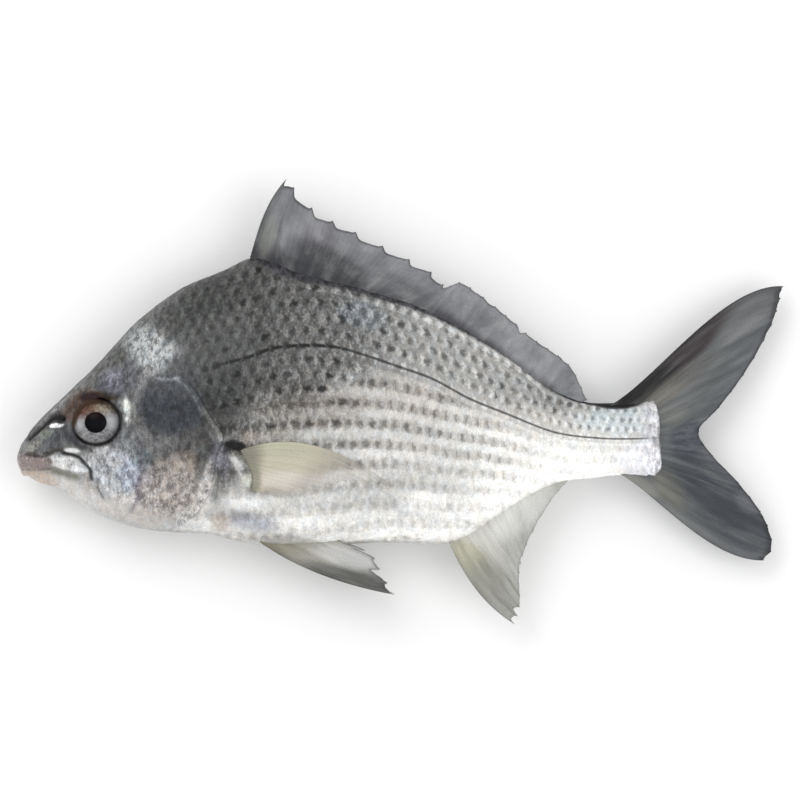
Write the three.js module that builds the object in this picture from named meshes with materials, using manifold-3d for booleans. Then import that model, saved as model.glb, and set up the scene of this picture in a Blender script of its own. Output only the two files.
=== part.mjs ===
// A whole raw sea bream lying on its right flank, with the left flank up.
// Millimetres. +X runs from the snout to the tail, +Y from the belly to the back and +Z up.
// The origin lies under the middle of the fish, on the surface that it rests on.
import * as THREE from 'three';
import { mergeVertices } from 'three/addons/utils/BufferGeometryUtils.js';
import Module from 'manifold-3d';

const wasm = await Module();
wasm.setup();

// Driving dimensions

const snoutX = -140;
const tailRootX = 96;
const halfThickness = 20.6;
const restFlattening = 1.5;
const backRoundness = 1.25;
const bellyRoundness = 0.95;

// The lying fish sags at both ends: how far the middle plane drops from one x to the other.
const tailSag = { fromX: 20, toX: 140, drop: 9 };
const headSag = { fromX: -90, toX: -140, drop: 2 };

const gillCover = {
  step: 1.4, taper: 45, edgeSlack: 0.3, topY: 10, topFade: 12, bottomY: -45, bottomFade: 7,
};
const cheek = { step: 0.7, taper: 15, edgeWidth: 1.5 };
const eye = {
  x: -110.6, y: -7.7, z: 8.4, radiusX: 8.9, radiusY: 8.5, halfDepth: 5.2, gap: 0.3, segments: 20,
};
const mouth = { cornerX: -127, y: -25, gape: 0.9, cutBeforeSnout: 3, cutWidth: 30 };
const lips = { height: 0.9, plainHalf: 1.2, fadeHalf: 5.7, rearFade: 3 };
const upperJawBone = {
  frontX: -128, frontFade: 5, rearX: -111.6, rearFade: 2, y: -23.5, halfHeight: 4.4, edge: 1.5, step: 0.7,
};
const nostril = {
  x: -123.6, y: -7.9, halfLength: 2, halfHeight: 0.8, depth: 1.6, tilt: 0.75, segments: 10,
};
const bandsPerSegment = 0.6;
const floorBlock = { length: 400, width: 300, depth: 40 };

const ringsOnHead = 28;
const ringsOnTrunk = 27;
const ringsMeetX = -70;
const ringsMeetGap = 0.7;
const headRingCrowding = 1.3;
const ringPasses = 6;
const pointsPerFlank = 18;

// Side outline and half width of the body without its fins, as [x, value].
const backLine = curveThrough([
  [-140, -18.8], [-139.3, -15.8], [-136, -11], [-125.2, -0.2], [-110.6, 13.7], [-96, 29.2],
  [-81.4, 40.2], [-64, 47.8], [-55.5, 51.8], [-36, 46.4], [-14, 40.8], [8, 33.8], [34.7, 19.2],
  [52.6, 5.9], [62, 0.7], [75, -1.8], [91.6, 1.3], [96, 2],
]);
const bellyLine = curveThrough([
  [-140, -22.6], [-139.3, -25.2], [-136, -27.9], [-125.2, -32.2], [-110.6, -41.4], [-99.6, -45.6],
  [-81.4, -48.2], [-70, -48.8], [-50, -52.4], [-30, -53], [-8, -51.8], [14, -51.8], [23, -49.8],
  [34, -42.8], [58, -29.8], [69, -28.4], [80, -27.3], [90.5, -28.3], [96, -29],
]);
const halfWidth = curveThrough([
  [-140, 1.6], [-139.3, 3.3], [-136, 5.2], [-128, 7.4], [-118, 9.8], [-106, 12.6], [-92, 15.4],
  [-76, 18.2], [-60, 20.2], [-48, halfThickness], [-30, 20.1], [-8, 17.6], [16, 13.8], [40, 9.4],
  [60, 6.3], [78, 4.3], [90, 2.9], [96, 1.9],
]);
// Where the flank is widest, as a share of the depth above the belly.
const widestShare = curveThrough([[-140, 0.5], [-110, 0.56], [-60, 0.5], [0, 0.48], [96, 0.5]]);

// Rear edge of the gill cover and of the bone in front of it, as [y, x].
const gillEdge = curveThrough([
  [-53, -95], [-47.6, -85], [-44, -77.7], [-38.9, -72.3], [-33.4, -69.3], [-26.5, -67.5],
  [-19.9, -66.6], [-13.7, -63.9], [-5.7, -68.6], [2, -73], [7.1, -77], [20, -80], [52, -88],
]);
const cheekEdge = curveThrough([[-48, -98], [-42, -89], [-36, -86], [-29, -88], [-21, -91.6], [4, -95]]);

// Fins are fans of rays. A key ray is { at, root, bends, tip }: its number in the row of rays, and
// the root, the two control points and the tip of its curve. A ray with no bends is straight.
const dorsalFin = {
  rays: 24,
  spines: 11,
  spineSpread: 0.075,
  rootHalf: 2,
  edgeHalf: 0.5,
  keys: [
    { at: 0, root: [-54, 45], bends: [[-55.3, 61.5], [-51, 73.2]], tip: [-41, 80.3] },
    { at: 1, root: [-47, 45], bends: [[-46.5, 59], [-43.6, 69.5]], tip: [-38.8, 76.6] },
    { at: 2, root: [-40, 44], tip: [-32.4, 70.6] },
    { at: 4, root: [-28, 40.5], tip: [-16.4, 61.6] },
    { at: 6, root: [-15, 37], tip: [3.2, 51.6] },
    { at: 7, root: [-8, 35], tip: [11.2, 47] },
    { at: 8, root: [-2, 33], tip: [15.6, 41.4] },
    { at: 10, root: [10, 29], tip: [21.5, 43.4] },
    { at: 13, root: [24, 21], tip: [34.5, 34.4] },
    { at: 17, root: [41, 10], tip: [49.6, 21.8] },
    { at: 20, root: [52, 2], tip: [60.8, 12.8] },
    { at: 23, root: [60, -3], tip: [67, 0.2] },
  ],
};
const tailFin = {
  rays: 21,
  spines: 0,
  spineSpread: 0,
  rootHalf: 1.5,
  edgeHalf: 0.45,
  keys: [
    { at: 0, root: [76, -4], bends: [[87, 2.6], [117.5, 41.6]], tip: [140, 41.4] },
    { at: 3, root: [84, -6], bends: [[101, 8], [118.5, 20.5]], tip: [135.2, 27.5] },
    { at: 6, root: [86, -9], tip: [124.8, 9.4] },
    { at: 8, root: [86, -11], tip: [115.8, -2.4] },
    { at: 10, root: [86, -13], tip: [108.2, -11.3] },
    { at: 12, root: [86, -16], tip: [113.2, -20.4] },
    { at: 14, root: [86, -18.5], tip: [123, -30.4] },
    { at: 17, root: [84, -21], bends: [[101, -29.5], [117.5, -38]], tip: [134.5, -45.8] },
    { at: 19, root: [80, -23.5], bends: [[97, -34], [115.5, -51]], tip: [135.8, -55.4] },
    { at: 20, root: [77, -25.5], bends: [[90, -29.4], [111.5, -58.2]], tip: [132.5, -58.4] },
  ],
};
const analFin = {
  rays: 14,
  spines: 3,
  spineSpread: 0.05,
  rootHalf: 1.8,
  edgeHalf: 0.5,
  keys: [
    { at: 0, root: [14.6, -46], bends: [[20.5, -62.7], [29.2, -74.2]], tip: [41.4, -80.3] },
    { at: 2, root: [21, -45], bends: [[30, -58.5], [37.5, -68]], tip: [43.2, -74] },
    { at: 5, root: [29, -40.5], tip: [43.4, -63] },
    { at: 8, root: [38, -34], tip: [46, -52.6] },
    { at: 11, root: [49, -28], tip: [54.6, -37] },
    { at: 13, root: [57, -26], tip: [61, -29.2] },
  ],
};
const pelvicFin = {
  rays: 6,
  spines: 1,
  spineSpread: 0,
  rootHalf: 1.2,
  edgeHalf: 0.45,
  rootOffset: 4,
  tipOffset: 6.5,
  keys: [
    { at: 0, root: [-56, -48], bends: [[-42.7, -58.7], [-25, -66.3]], tip: [-3, -70.4] },
    { at: 1, root: [-50, -46], bends: [[-36, -56], [-19.5, -62.5]], tip: [-5.6, -66] },
    { at: 2, root: [-43, -46], tip: [-9.8, -60.6] },
    { at: 3, root: [-40, -46], tip: [-10.4, -57.4] },
    { at: 4, root: [-37, -46], tip: [-13, -54.8] },
    { at: 5, root: [-34, -46], tip: [-19.5, -52.4] },
  ],
};
const pectoralFin = {
  rays: 13,
  spines: 0,
  spineSpread: 0,
  sunk: 0.7,
  raised: 0.9,
  keys: [
    { at: 0, root: [-59, -17], bends: [[-41, -11], [-22, -16]], tip: [-2.4, -31.6] },
    { at: 2, root: [-57.5, -19], bends: [[-40.5, -15], [-24, -19]], tip: [-8, -30.5] },
    { at: 5, root: [-55.5, -22.5], tip: [-19.5, -29.2] },
    { at: 9, root: [-53.5, -28], tip: [-31, -33.6] },
    { at: 12, root: [-54, -32.4], tip: [-43, -35.4] },
  ],
};
const rowsAlongRay = 4;
const rayRidge = 0.35;
const ridgeFade = 0.6;
const spinyWeb = [0, 0.12, 0.5, 0.88];
const softWeb = [0, 0.5];
const webDip = 0.02;

const skinLook = { color: '#a9aeb0', roughness: 0.28, metalness: 0.25 };
const eyeLook = { color: '#2a2520', roughness: 0.08, metalness: 0 };

// Curves

/** A smooth function of x through [x, y] pairs in rising order of x. */
function curveThrough(points) {
  const steps = points.slice(1).map((point, i) => ({
    width: point[0] - points[i][0],
    slope: (point[1] - points[i][1]) / (point[0] - points[i][0]),
  }));
  const slopes = points.map((point, i) => {
    const before = steps[Math.max(i - 1, 0)];
    const after = steps[Math.min(i, steps.length - 1)];
    return (before.slope * after.width + after.slope * before.width) / (before.width + after.width);
  });
  return (x) => {
    const next = points.findIndex((point) => point[0] > x);
    const i = next < 0 ? steps.length - 1 : Math.max(next - 1, 0);
    const { width, slope } = steps[i];
    const t = THREE.MathUtils.clamp((x - points[i][0]) / width, 0, 1);
    const bow = (1 - t) * (slopes[i] - slope) - t * (slopes[i + 1] - slope);
    return points[i][1] + width * (t * slope + t * (1 - t) * bow);
  };
}

/** Eases from 0 to 1 as x goes from start to end, which may be the lower one. */
function ease(x, start, end) {
  const t = THREE.MathUtils.clamp((x - start) / (end - start), 0, 1);
  return t * t * (3 - 2 * t);
}

/** The fish's middle plane above the surface it lies on: head and tail sag a little. */
function middlePlane(x) {
  const sags = [tailSag, headSag].map(({ fromX, toX, drop }) => (
    drop * Math.max(0, (x - fromX) / (toX - fromX)) ** 2
  ));
  return halfThickness - restFlattening - sags[0] - sags[1];
}

// Body

/** Back, belly and widest height of the body at x. */
function sectionAt(x) {
  const top = backLine(x);
  const bottom = bellyLine(x);
  return { top, bottom, widest: bottom + widestShare(x) * (top - bottom) };
}

/** What the gill cover, cheek, upper jaw bone and lips add to the half thickness. */
function relief(x, y) {
  const aboveBottom = ease(y, gillCover.bottomY - gillCover.bottomFade, gillCover.bottomY);
  const onSide = ease(y, gillCover.topY, gillCover.topY - gillCover.topFade) * aboveBottom;
  const beforeGill = gillEdge(y) - x;
  const onCover = beforeGill > -gillCover.edgeSlack ? ease(beforeGill, gillCover.taper, 0) : 0;
  const beforeCheek = cheekEdge(y) - x;
  const onCheek = ease(beforeCheek, -cheek.edgeWidth, 0) * ease(beforeCheek, cheek.taper, 0);
  const bone = upperJawBone;
  const fromBoneFront = ease(x, bone.frontX, bone.frontX + bone.frontFade);
  const toBoneRear = ease(x, bone.rearX, bone.rearX - bone.rearFade);
  const onBone = ease(Math.abs(y - bone.y), bone.halfHeight, bone.halfHeight - bone.edge);
  const aroundMouth = ease(Math.abs(y - mouth.y), lips.fadeHalf, lips.plainHalf);
  const onLips = aroundMouth * ease(x, mouth.cornerX + lips.rearFade, mouth.cornerX - lips.rearFade);
  return onSide * (gillCover.step * onCover + cheek.step * onCheek)
    + bone.step * fromBoneFront * toBoneRear * onBone + lips.height * onLips;
}

/** Half the body's thickness at a point of its side view. */
function skinHeight(x, y) {
  const { top, bottom, widest } = sectionAt(x);
  const edge = y > widest ? top : bottom;
  const roundness = y > widest ? backRoundness : bellyRoundness;
  const share = THREE.MathUtils.clamp((y - widest) / (edge - widest), 0, 1);
  return (halfWidth(x) + relief(x, y)) * (1 - share ** 2) ** (roundness / 2);
}

/** Where a ring of the body crosses the height y. The rings bend to follow the gill cover's edge. */
function ringX(ring, y) {
  const bend = gillEdge(y) - ringsMeetX;
  if (ring <= ringsOnHead) {
    const t = ring / ringsOnHead;
    return THREE.MathUtils.lerp(snoutX, ringsMeetX, t ** headRingCrowding) + t ** 3 * bend;
  }
  const t = (ring - ringsOnHead - 1) / ringsOnTrunk;
  return THREE.MathUtils.lerp(ringsMeetX + ringsMeetGap, tailRootX, t) + (1 - t) ** 3 * bend;
}

/** A point of the body at an angle round a ring: 0 at the back, half a turn at the belly. */
function bodyPoint(ring, angle) {
  const up = Math.cos(angle);
  let x = ringX(ring, 0);
  let y = 0;
  for (let pass = 0; pass < ringPasses; pass += 1) {
    const { top, bottom, widest } = sectionAt(x);
    y = widest + up * (up > 0 ? top - widest : widest - bottom);
    x = ringX(ring, y);
  }
  const z = Math.sign(Math.sin(angle)) * skinHeight(x, y);
  return [x, y, z];
}

function bodyGeometry() {
  const rings = ringsOnHead + ringsOnTrunk + 2;
  const around = 2 * pointsPerFlank;
  const points = [];
  const faces = [];
  for (let ring = 0; ring < rings; ring += 1) {
    for (let i = 0; i < around; i += 1) {
      points.push(bodyPoint(ring, (i / around) * 2 * Math.PI));
    }
  }
  for (let ring = 0; ring < rings - 1; ring += 1) {
    for (let i = 0; i < around; i += 1) {
      const j = (i + 1) % around;
      const [a, b] = [ring * around + i, ring * around + j];
      faces.push([a, a + around, b], [b, a + around, b + around]);
    }
  }
  const lastRing = (rings - 1) * around;
  const snout = points.push([snoutX, (backLine(snoutX) + bellyLine(snoutX)) / 2, 0]) - 1;
  const end = points.push([tailRootX, (backLine(tailRootX) + bellyLine(tailRootX)) / 2, 0]) - 1;
  for (let i = 0; i < around; i += 1) {
    const j = (i + 1) % around;
    faces.push([snout, i, j], [end, lastRing + j, lastRing + i]);
  }
  return closedGeometry(points, faces);
}

// Fins

/** The curve of any ray of a fin, whole or between two: (ray number, share along it) to [x, y]. */
function rayCurves(keys) {
  const controls = keys.map(({ root, bends, tip }) => {
    const straight = [1 / 3, 2 / 3].map((t) => root.map((value, i) => value + t * (tip[i] - value)));
    return [root, ...(bends ?? straight), tip];
  });
  const weights = (t) => [(1 - t) ** 3, 3 * t * (1 - t) ** 2, 3 * t ** 2 * (1 - t), t ** 3];
  const tracks = [0, 1].map((i) => [0, 1, 2, 3].map((control) => (
    curveThrough(keys.map((key, k) => [key.at, controls[k][control][i]]))
  )));
  return (at, along) => tracks.map((track) => (
    weights(along).reduce((sum, weight, control) => sum + weight * track[control](at), 0)
  ));
}

/** The ray numbers of a fin's columns: the rays, and the web between them. */
function finColumns(fin) {
  const columns = [];
  for (let ray = 0; ray < fin.rays - 1; ray += 1) {
    const web = ray < fin.spines - 1 ? spinyWeb : softWeb;
    columns.push(...web.map((share) => ray + share));
  }
  columns.push(fin.rays - 1);
  return columns;
}

/** How far the fin reaches along a column: the web drops behind each spine's tip. */
function reachAt(fin, column) {
  const share = column % 1;
  if (share === 0) {
    return 1;
  }
  const drop = column < fin.spines - 1 ? fin.spineSpread * (1 - share) ** 2 : 0;
  return 1 - webDip - drop;
}

/** Half the fin's thickness: thick at the root, thin at the edge, with a ridge on each ray. */
function finHalf(fin, column, along) {
  const ridge = rayRidge * Math.cos(Math.PI * (column % 1)) ** 2 * (1 - ridgeFade * along);
  return fin.edgeHalf + (fin.rootHalf - fin.edgeHalf) * (1 - along) ** 2 + ridge;
}

/** A closed slab between two sheets of points, each a function of (column, row). */
function slabGeometry(columns, rows, near, far) {
  const points = [];
  const faces = [];
  const index = (sheet, column, row) => (sheet * columns + column) * rows + row;
  [near, far].forEach((sheet) => {
    for (let column = 0; column < columns; column += 1) {
      for (let row = 0; row < rows; row += 1) {
        points.push(sheet(column, row));
      }
    }
  });
  const quad = (a, b, c, d) => faces.push([a, b, c], [a, c, d]);
  for (let column = 0; column < columns - 1; column += 1) {
    for (let row = 0; row < rows - 1; row += 1) {
      const corners = [[column, row], [column + 1, row], [column + 1, row + 1], [column, row + 1]];
      quad(...corners.map(([c, r]) => index(0, c, r)));
      quad(...corners.map(([c, r]) => index(1, c, r)).reverse());
    }
  }
  const rim = [];
  for (let column = 0; column < columns - 1; column += 1) {
    rim.push([column, 0]);
  }
  for (let row = 0; row < rows - 1; row += 1) {
    rim.push([columns - 1, row]);
  }
  for (let column = columns - 1; column > 0; column -= 1) {
    rim.push([column, rows - 1]);
  }
  for (let row = rows - 1; row > 0; row -= 1) {
    rim.push([0, row]);
  }
  rim.forEach(([c, r], i) => {
    const [nextC, nextR] = rim[(i + 1) % rim.length];
    quad(index(1, c, r), index(1, nextC, nextR), index(0, nextC, nextR), index(0, c, r));
  });
  return closedGeometry(points, faces);
}

/** A fin in the middle plane, or beside it by an offset that grows from root to tip. */
function finGeometry(fin, side = 0) {
  const curve = rayCurves(fin.keys);
  const columns = finColumns(fin);
  const sheet = (face) => (column, row) => {
    const along = (row / rowsAlongRay) * reachAt(fin, columns[column]);
    const [x, y] = curve(columns[column], along);
    const offset = side ? THREE.MathUtils.lerp(fin.rootOffset, fin.tipOffset, along) : 0;
    return [x, y, side * offset + face * finHalf(fin, columns[column], along)];
  };
  return slabGeometry(columns.length, rowsAlongRay + 1, sheet(1), sheet(-1));
}

/** A pectoral fin, which lies flat on the flank of one side. */
function pectoralGeometry(side) {
  const fin = pectoralFin;
  const curve = rayCurves(fin.keys);
  const columns = finColumns(fin);
  const sheet = (lift) => (column, row) => {
    const along = (row / rowsAlongRay) * reachAt(fin, columns[column]);
    const [x, y] = curve(columns[column], along);
    const ridge = lift > 0 ? rayRidge * Math.cos(Math.PI * (columns[column] % 1)) ** 2 : 0;
    return [x, y, side * (skinHeight(x, y) + lift + ridge)];
  };
  return slabGeometry(columns.length, rowsAlongRay + 1, sheet(fin.raised), sheet(-fin.sunk));
}

// Cuts

function ellipsoidGeometry(radii, place, segments, tilt = 0) {
  const bands = Math.round(segments * bandsPerSegment);
  const geometry = new THREE.SphereGeometry(1, segments, bands);
  geometry.rotateX(Math.PI / 2);
  geometry.scale(...radii);
  geometry.rotateZ(tilt);
  geometry.translate(...place);
  return geometry;
}

function eyeGeometry(side, grow) {
  const radii = [eye.radiusX + grow, eye.radiusY + grow, eye.halfDepth + grow];
  return ellipsoidGeometry(radii, [eye.x, eye.y, side * eye.z], eye.segments);
}

function nostrilGeometry(side) {
  const radii = [nostril.halfLength, nostril.halfHeight, nostril.depth];
  const z = side * skinHeight(nostril.x, nostril.y);
  return ellipsoidGeometry(radii, [nostril.x, nostril.y, z], nostril.segments, nostril.tilt);
}

/** A wedge right through the snout, open in front and closing at the corners of the mouth. */
function mouthGeometry() {
  const frontX = snoutX - mouth.cutBeforeSnout;
  const wedge = new THREE.Shape();
  wedge.moveTo(frontX, mouth.y + mouth.gape);
  wedge.lineTo(frontX, mouth.y - mouth.gape);
  wedge.lineTo(mouth.cornerX, mouth.y);
  const geometry = new THREE.ExtrudeGeometry(wedge, { depth: mouth.cutWidth, bevelEnabled: false });
  return geometry.translate(0, 0, -mouth.cutWidth / 2);
}

function underfloorGeometry() {
  const { length, width, depth } = floorBlock;
  return new THREE.BoxGeometry(length, width, depth).translate(0, 0, -depth / 2);
}

// Solids

/** A closed geometry from points and triangles, with its faces turned outward. */
function closedGeometry(points, faces) {
  const corners = points.map((point) => new THREE.Vector3(...point));
  const volumeOf = ([a, b, c]) => corners[a].dot(corners[b].clone().cross(corners[c]));
  const inward = faces.reduce((sum, face) => sum + volumeOf(face), 0) < 0;
  const turned = inward ? faces.map(([a, b, c]) => [a, c, b]) : faces;
  const geometry = new THREE.BufferGeometry();
  geometry.setAttribute('position', new THREE.Float32BufferAttribute(points.flat(), 3));
  geometry.setIndex(turned.flat());
  return geometry;
}

/** Lifts a geometry from the fish's middle plane to where the lying fish has it. */
function laidDown(geometry) {
  const place = geometry.getAttribute('position');
  for (let i = 0; i < place.count; i += 1) {
    place.setZ(i, place.getZ(i) + middlePlane(place.getX(i)));
  }
  return geometry;
}

function solidFrom(geometry) {
  geometry.deleteAttribute('normal');
  geometry.deleteAttribute('uv');
  const merged = mergeVertices(geometry, 1e-4);
  return new wasm.Manifold(new wasm.Mesh({
    numProp: 3,
    vertProperties: Float32Array.from(merged.getAttribute('position').array),
    triVerts: Uint32Array.from(merged.index.array),
  }));
}

function geometryFrom(solid) {
  const mesh = solid.getMesh();
  const geometry = new THREE.BufferGeometry();
  geometry.setAttribute('position', new THREE.BufferAttribute(mesh.vertProperties, 3));
  geometry.setIndex(new THREE.BufferAttribute(mesh.triVerts, 1));
  geometry.computeVertexNormals();
  return geometry;
}

function fishSolid() {
  const added = [
    finGeometry(dorsalFin),
    finGeometry(tailFin),
    finGeometry(analFin),
    finGeometry(pelvicFin, 1),
    finGeometry(pelvicFin, -1),
    pectoralGeometry(1),
    pectoralGeometry(-1),
  ];
  const removed = [
    eyeGeometry(1, eye.gap),
    eyeGeometry(-1, eye.gap),
    nostrilGeometry(1),
    nostrilGeometry(-1),
    mouthGeometry(),
  ];
  let solid = solidFrom(laidDown(bodyGeometry()));
  added.forEach((geometry) => {
    solid = solid.add(solidFrom(laidDown(geometry)));
  });
  removed.forEach((geometry) => {
    solid = solid.subtract(solidFrom(laidDown(geometry)));
  });
  return solid.subtract(solidFrom(underfloorGeometry()));
}

function addMesh(group, name, geometry, look) {
  const mesh = new THREE.Mesh(geometry, new THREE.MeshStandardMaterial(look));
  mesh.name = name;
  group.add(mesh);
}

const fish = new THREE.Group();
addMesh(fish, 'fish', geometryFrom(fishSolid()), skinLook);
addMesh(fish, 'eye_left', geometryFrom(solidFrom(laidDown(eyeGeometry(1, 0)))), eyeLook);
addMesh(fish, 'eye_right', geometryFrom(solidFrom(laidDown(eyeGeometry(-1, 0)))), eyeLook);

export default fish;
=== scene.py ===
import math

import bpy
import numpy as np
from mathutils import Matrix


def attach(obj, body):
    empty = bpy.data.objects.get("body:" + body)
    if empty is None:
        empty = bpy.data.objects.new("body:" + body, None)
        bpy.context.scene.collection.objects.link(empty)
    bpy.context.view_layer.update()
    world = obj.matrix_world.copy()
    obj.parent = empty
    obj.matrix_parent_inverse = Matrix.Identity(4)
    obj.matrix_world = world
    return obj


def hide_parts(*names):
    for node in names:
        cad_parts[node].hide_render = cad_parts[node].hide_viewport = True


# A whole raw sea bream lying on its right flank. x runs from the snout to the tail, y from the
# belly to the back and z up. All sizes below are millimetres; meshes are made in metres.
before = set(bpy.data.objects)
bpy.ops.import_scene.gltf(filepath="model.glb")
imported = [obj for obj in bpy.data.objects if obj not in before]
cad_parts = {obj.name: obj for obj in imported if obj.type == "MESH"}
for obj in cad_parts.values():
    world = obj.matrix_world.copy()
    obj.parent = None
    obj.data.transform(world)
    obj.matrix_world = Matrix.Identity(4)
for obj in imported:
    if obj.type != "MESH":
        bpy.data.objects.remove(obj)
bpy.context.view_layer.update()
mm = 0.001
print("frame loaded")


def curveThrough(points):
    # a smooth function of x through [x, y] pairs in rising order of x
    xs, ys = np.array(points, float).T
    width = np.diff(xs)
    slope = np.diff(ys) / width
    before = np.r_[0, np.arange(len(slope))]
    after = np.r_[np.arange(len(slope)), len(slope) - 1]
    weighted = slope[before] * width[after] + slope[after] * width[before]
    bend = weighted / (width[before] + width[after])

    def valueAt(x):
        i = np.clip(np.searchsorted(xs, x, side="right") - 1, 0, len(slope) - 1)
        t = np.clip((x - xs[i]) / width[i], 0, 1)
        bow = (1 - t) * (bend[i] - slope[i]) - t * (bend[i + 1] - slope[i])
        return ys[i] + width[i] * (t * slope[i] + t * (1 - t) * bow)

    return valueAt


def ease(x, start, end):
    t = np.clip((x - start) / (end - start), 0, 1)
    return t * t * (3 - 2 * t)


def mix(a, b, t):
    return a + (b - a) * t


def linear(shade):
    # screen values 0 to 255 as the light values that a shader takes
    value = np.asarray(shade, float) / 255
    return np.where(value <= 0.04045, value / 12.92, ((value + 0.055) / 1.055) ** 2.4)


def lineGap(points, x, y):
    # distance of each place from a line through points
    gap = np.full(np.shape(x), 1e9)
    for (x0, y0), (x1, y1) in zip(points, points[1:]):
        dx, dy = x1 - x0, y1 - y0
        t = np.clip(((x - x0) * dx + (y - y0) * dy) / (dx * dx + dy * dy), 0, 1)
        gap = np.minimum(gap, np.hypot(x - x0 - t * dx, y - y0 - t * dy))
    return gap


def oval(middleX, middleY, rx, ry, turn=0, soft=0.4):
    # how far each place lies inside an oval, turned by degrees and with a soft rim
    turn = math.radians(turn)

    def shareAt(x, y):
        along = (x - middleX) * math.cos(turn) + (y - middleY) * math.sin(turn)
        across = (y - middleY) * math.cos(turn) - (x - middleX) * math.sin(turn)
        return ease(np.hypot(along / rx, across / ry), 1 + soft, 1 - soft)

    return shareAt


def patch(x, y, rx, ry, shade, amount, turn=0, soft=0.4):
    # an oval of colour: middle, half sizes, screen colour (one number is a grey), strength and turn
    return oval(x, y, rx, ry, turn, soft), shade, amount


def crease(points, width, depth, shade, amount):
    # a line that is cut into the skin, or stands up from it where its depth is below zero
    return lambda x, y: np.exp(-((lineGap(points, x, y) / width) ** 2)), shade, amount, depth


def inked(shade, ink, share):
    return mix(shade, np.array(ink, float), share[..., None])


def painted(shade, marks, x, y):
    # the colours of patches or creases laid over one another
    for shareAt, ink, amount, *_ in marks.values():
        shade = inked(shade, ink, amount * shareAt(x, y))
    return shade


def lumps(seed, size, x, y):
    # smooth random bumps between -1 and 1, about size apart
    cells = np.random.default_rng(seed).uniform(-1, 1, (64, 64))
    u, v = np.asarray(x) / size + 1000, np.asarray(y) / size + 1000
    i, j = np.floor(u).astype(int), np.floor(v).astype(int)
    s, t = ease(u - i, 0, 1), ease(v - j, 0, 1)
    corner = [cells[(i + a) % 64, (j + b) % 64] for a, b in ((0, 0), (1, 0), (0, 1), (1, 1))]
    return mix(mix(corner[0], corner[1], s), mix(corner[2], corner[3], s), t)


body = {
    "snoutX": -140, "tailRootX": 96, "halfThickness": 20.6, "restFlattening": 1.5,
    "tailDroop": 9, "headDroop": 2, "backRoundness": 1.25, "bellyRoundness": 0.95,
    "gillMeanX": -70, "coverStep": 1.1, "coverTaper": 45, "coverTopY": 10, "coverTopFade": 12,
    "coverBottomFade": (-52, -45), "coverLip": 1.5, "cheekStep": 0.7, "cheekTaper": 15,
    "headRings": 132, "trunkRings": 258, "shownSteps": 150, "underSteps": 104,
    "headCrowding": 1.3, "gillFollow": 3, "rearFollow": 8, "gillGapDepth": 0.3,
    "rearMiddleX": 95, "rearMiddleY": -13.6,
}
backLine = curveThrough([
    [-140, -20], [-139.3, -17.6], [-137.5, -14.2], [-133, -8.2], [-125.2, -0.6], [-110.6, 13.7],
    [-96, 29.2], [-81.4, 40.2], [-64, 47.8], [-55.5, 51.8], [-36, 46.4], [-14, 40.8], [8, 33.8],
    [34.7, 19.2], [52.6, 5.9], [62, 0.9], [75, -1.1], [84, -0.3], [91.6, 1.6], [96, 2.2],
])
bellyLine = curveThrough([
    [-140, -22.6], [-139.3, -25.2], [-136, -27.9], [-125.2, -32.2], [-110.6, -41.4],
    [-99.6, -45.6], [-81.4, -48.2], [-70, -48.8], [-60, -51.3], [-50, -53.2], [-30, -53.2],
    [-8, -51.8], [14, -52.2], [18, -52], [24, -49.6], [34, -42.8], [58, -29.8], [69, -28.4],
    [80, -27.3], [90.5, -28.3], [96, -29],
])
halfWidth = curveThrough([
    [-140, 1.6], [-139.3, 3.3], [-136, 5.2], [-128, 7.4], [-118, 9.8], [-106, 12.6], [-92, 15.4],
    [-76, 18.2], [-60, 20.2], [-48, 20.6], [-30, 20.1], [-8, 17.6], [16, 13.8], [40, 9.4],
    [60, 6.3], [78, 4.3], [90, 2.7], [96, 1.7],
])
widestShare = curveThrough([[-140, 0.5], [-110, 0.56], [-60, 0.5], [0, 0.48], [96, 0.5]])
gillEdge = curveThrough([
    [-53, -95], [-47.6, -85], [-44, -77.7], [-38.9, -72.3], [-33.4, -69.3], [-26.5, -67.5],
    [-19.9, -66.6], [-13.7, -63.9], [-5.7, -68.6], [2, -73], [7.1, -77], [20, -80], [52, -88],
])
cheekEdge = curveThrough([[-48, -98], [-42, -89], [-36, -86], [-29, -88], [-21, -91.6], [4, -95]])
rearEdge = curveThrough([
    [-30, 90], [-28, 92.5], [-26, 94.4], [-20, 94.8], [-14, 94], [-5, 94.1], [0, 92.3], [2, 90.5],
])

eye = {
    "x": -110.6, "y": -7.7, "radiusX": 8.9, "radiusY": 8.5, "halfDepth": 5.2, "z": 8.4,
    "rimRadius": 10.8, "rimHeight": 0.45, "rimWidth": 1.6, "socketFloor": 9.2,
    "socketStart": 1.05, "socketEnd": 0.93,
    "browAngle": 134, "browSpread": 52, "browSoft": 22, "browReach": 0.2,
}
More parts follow.
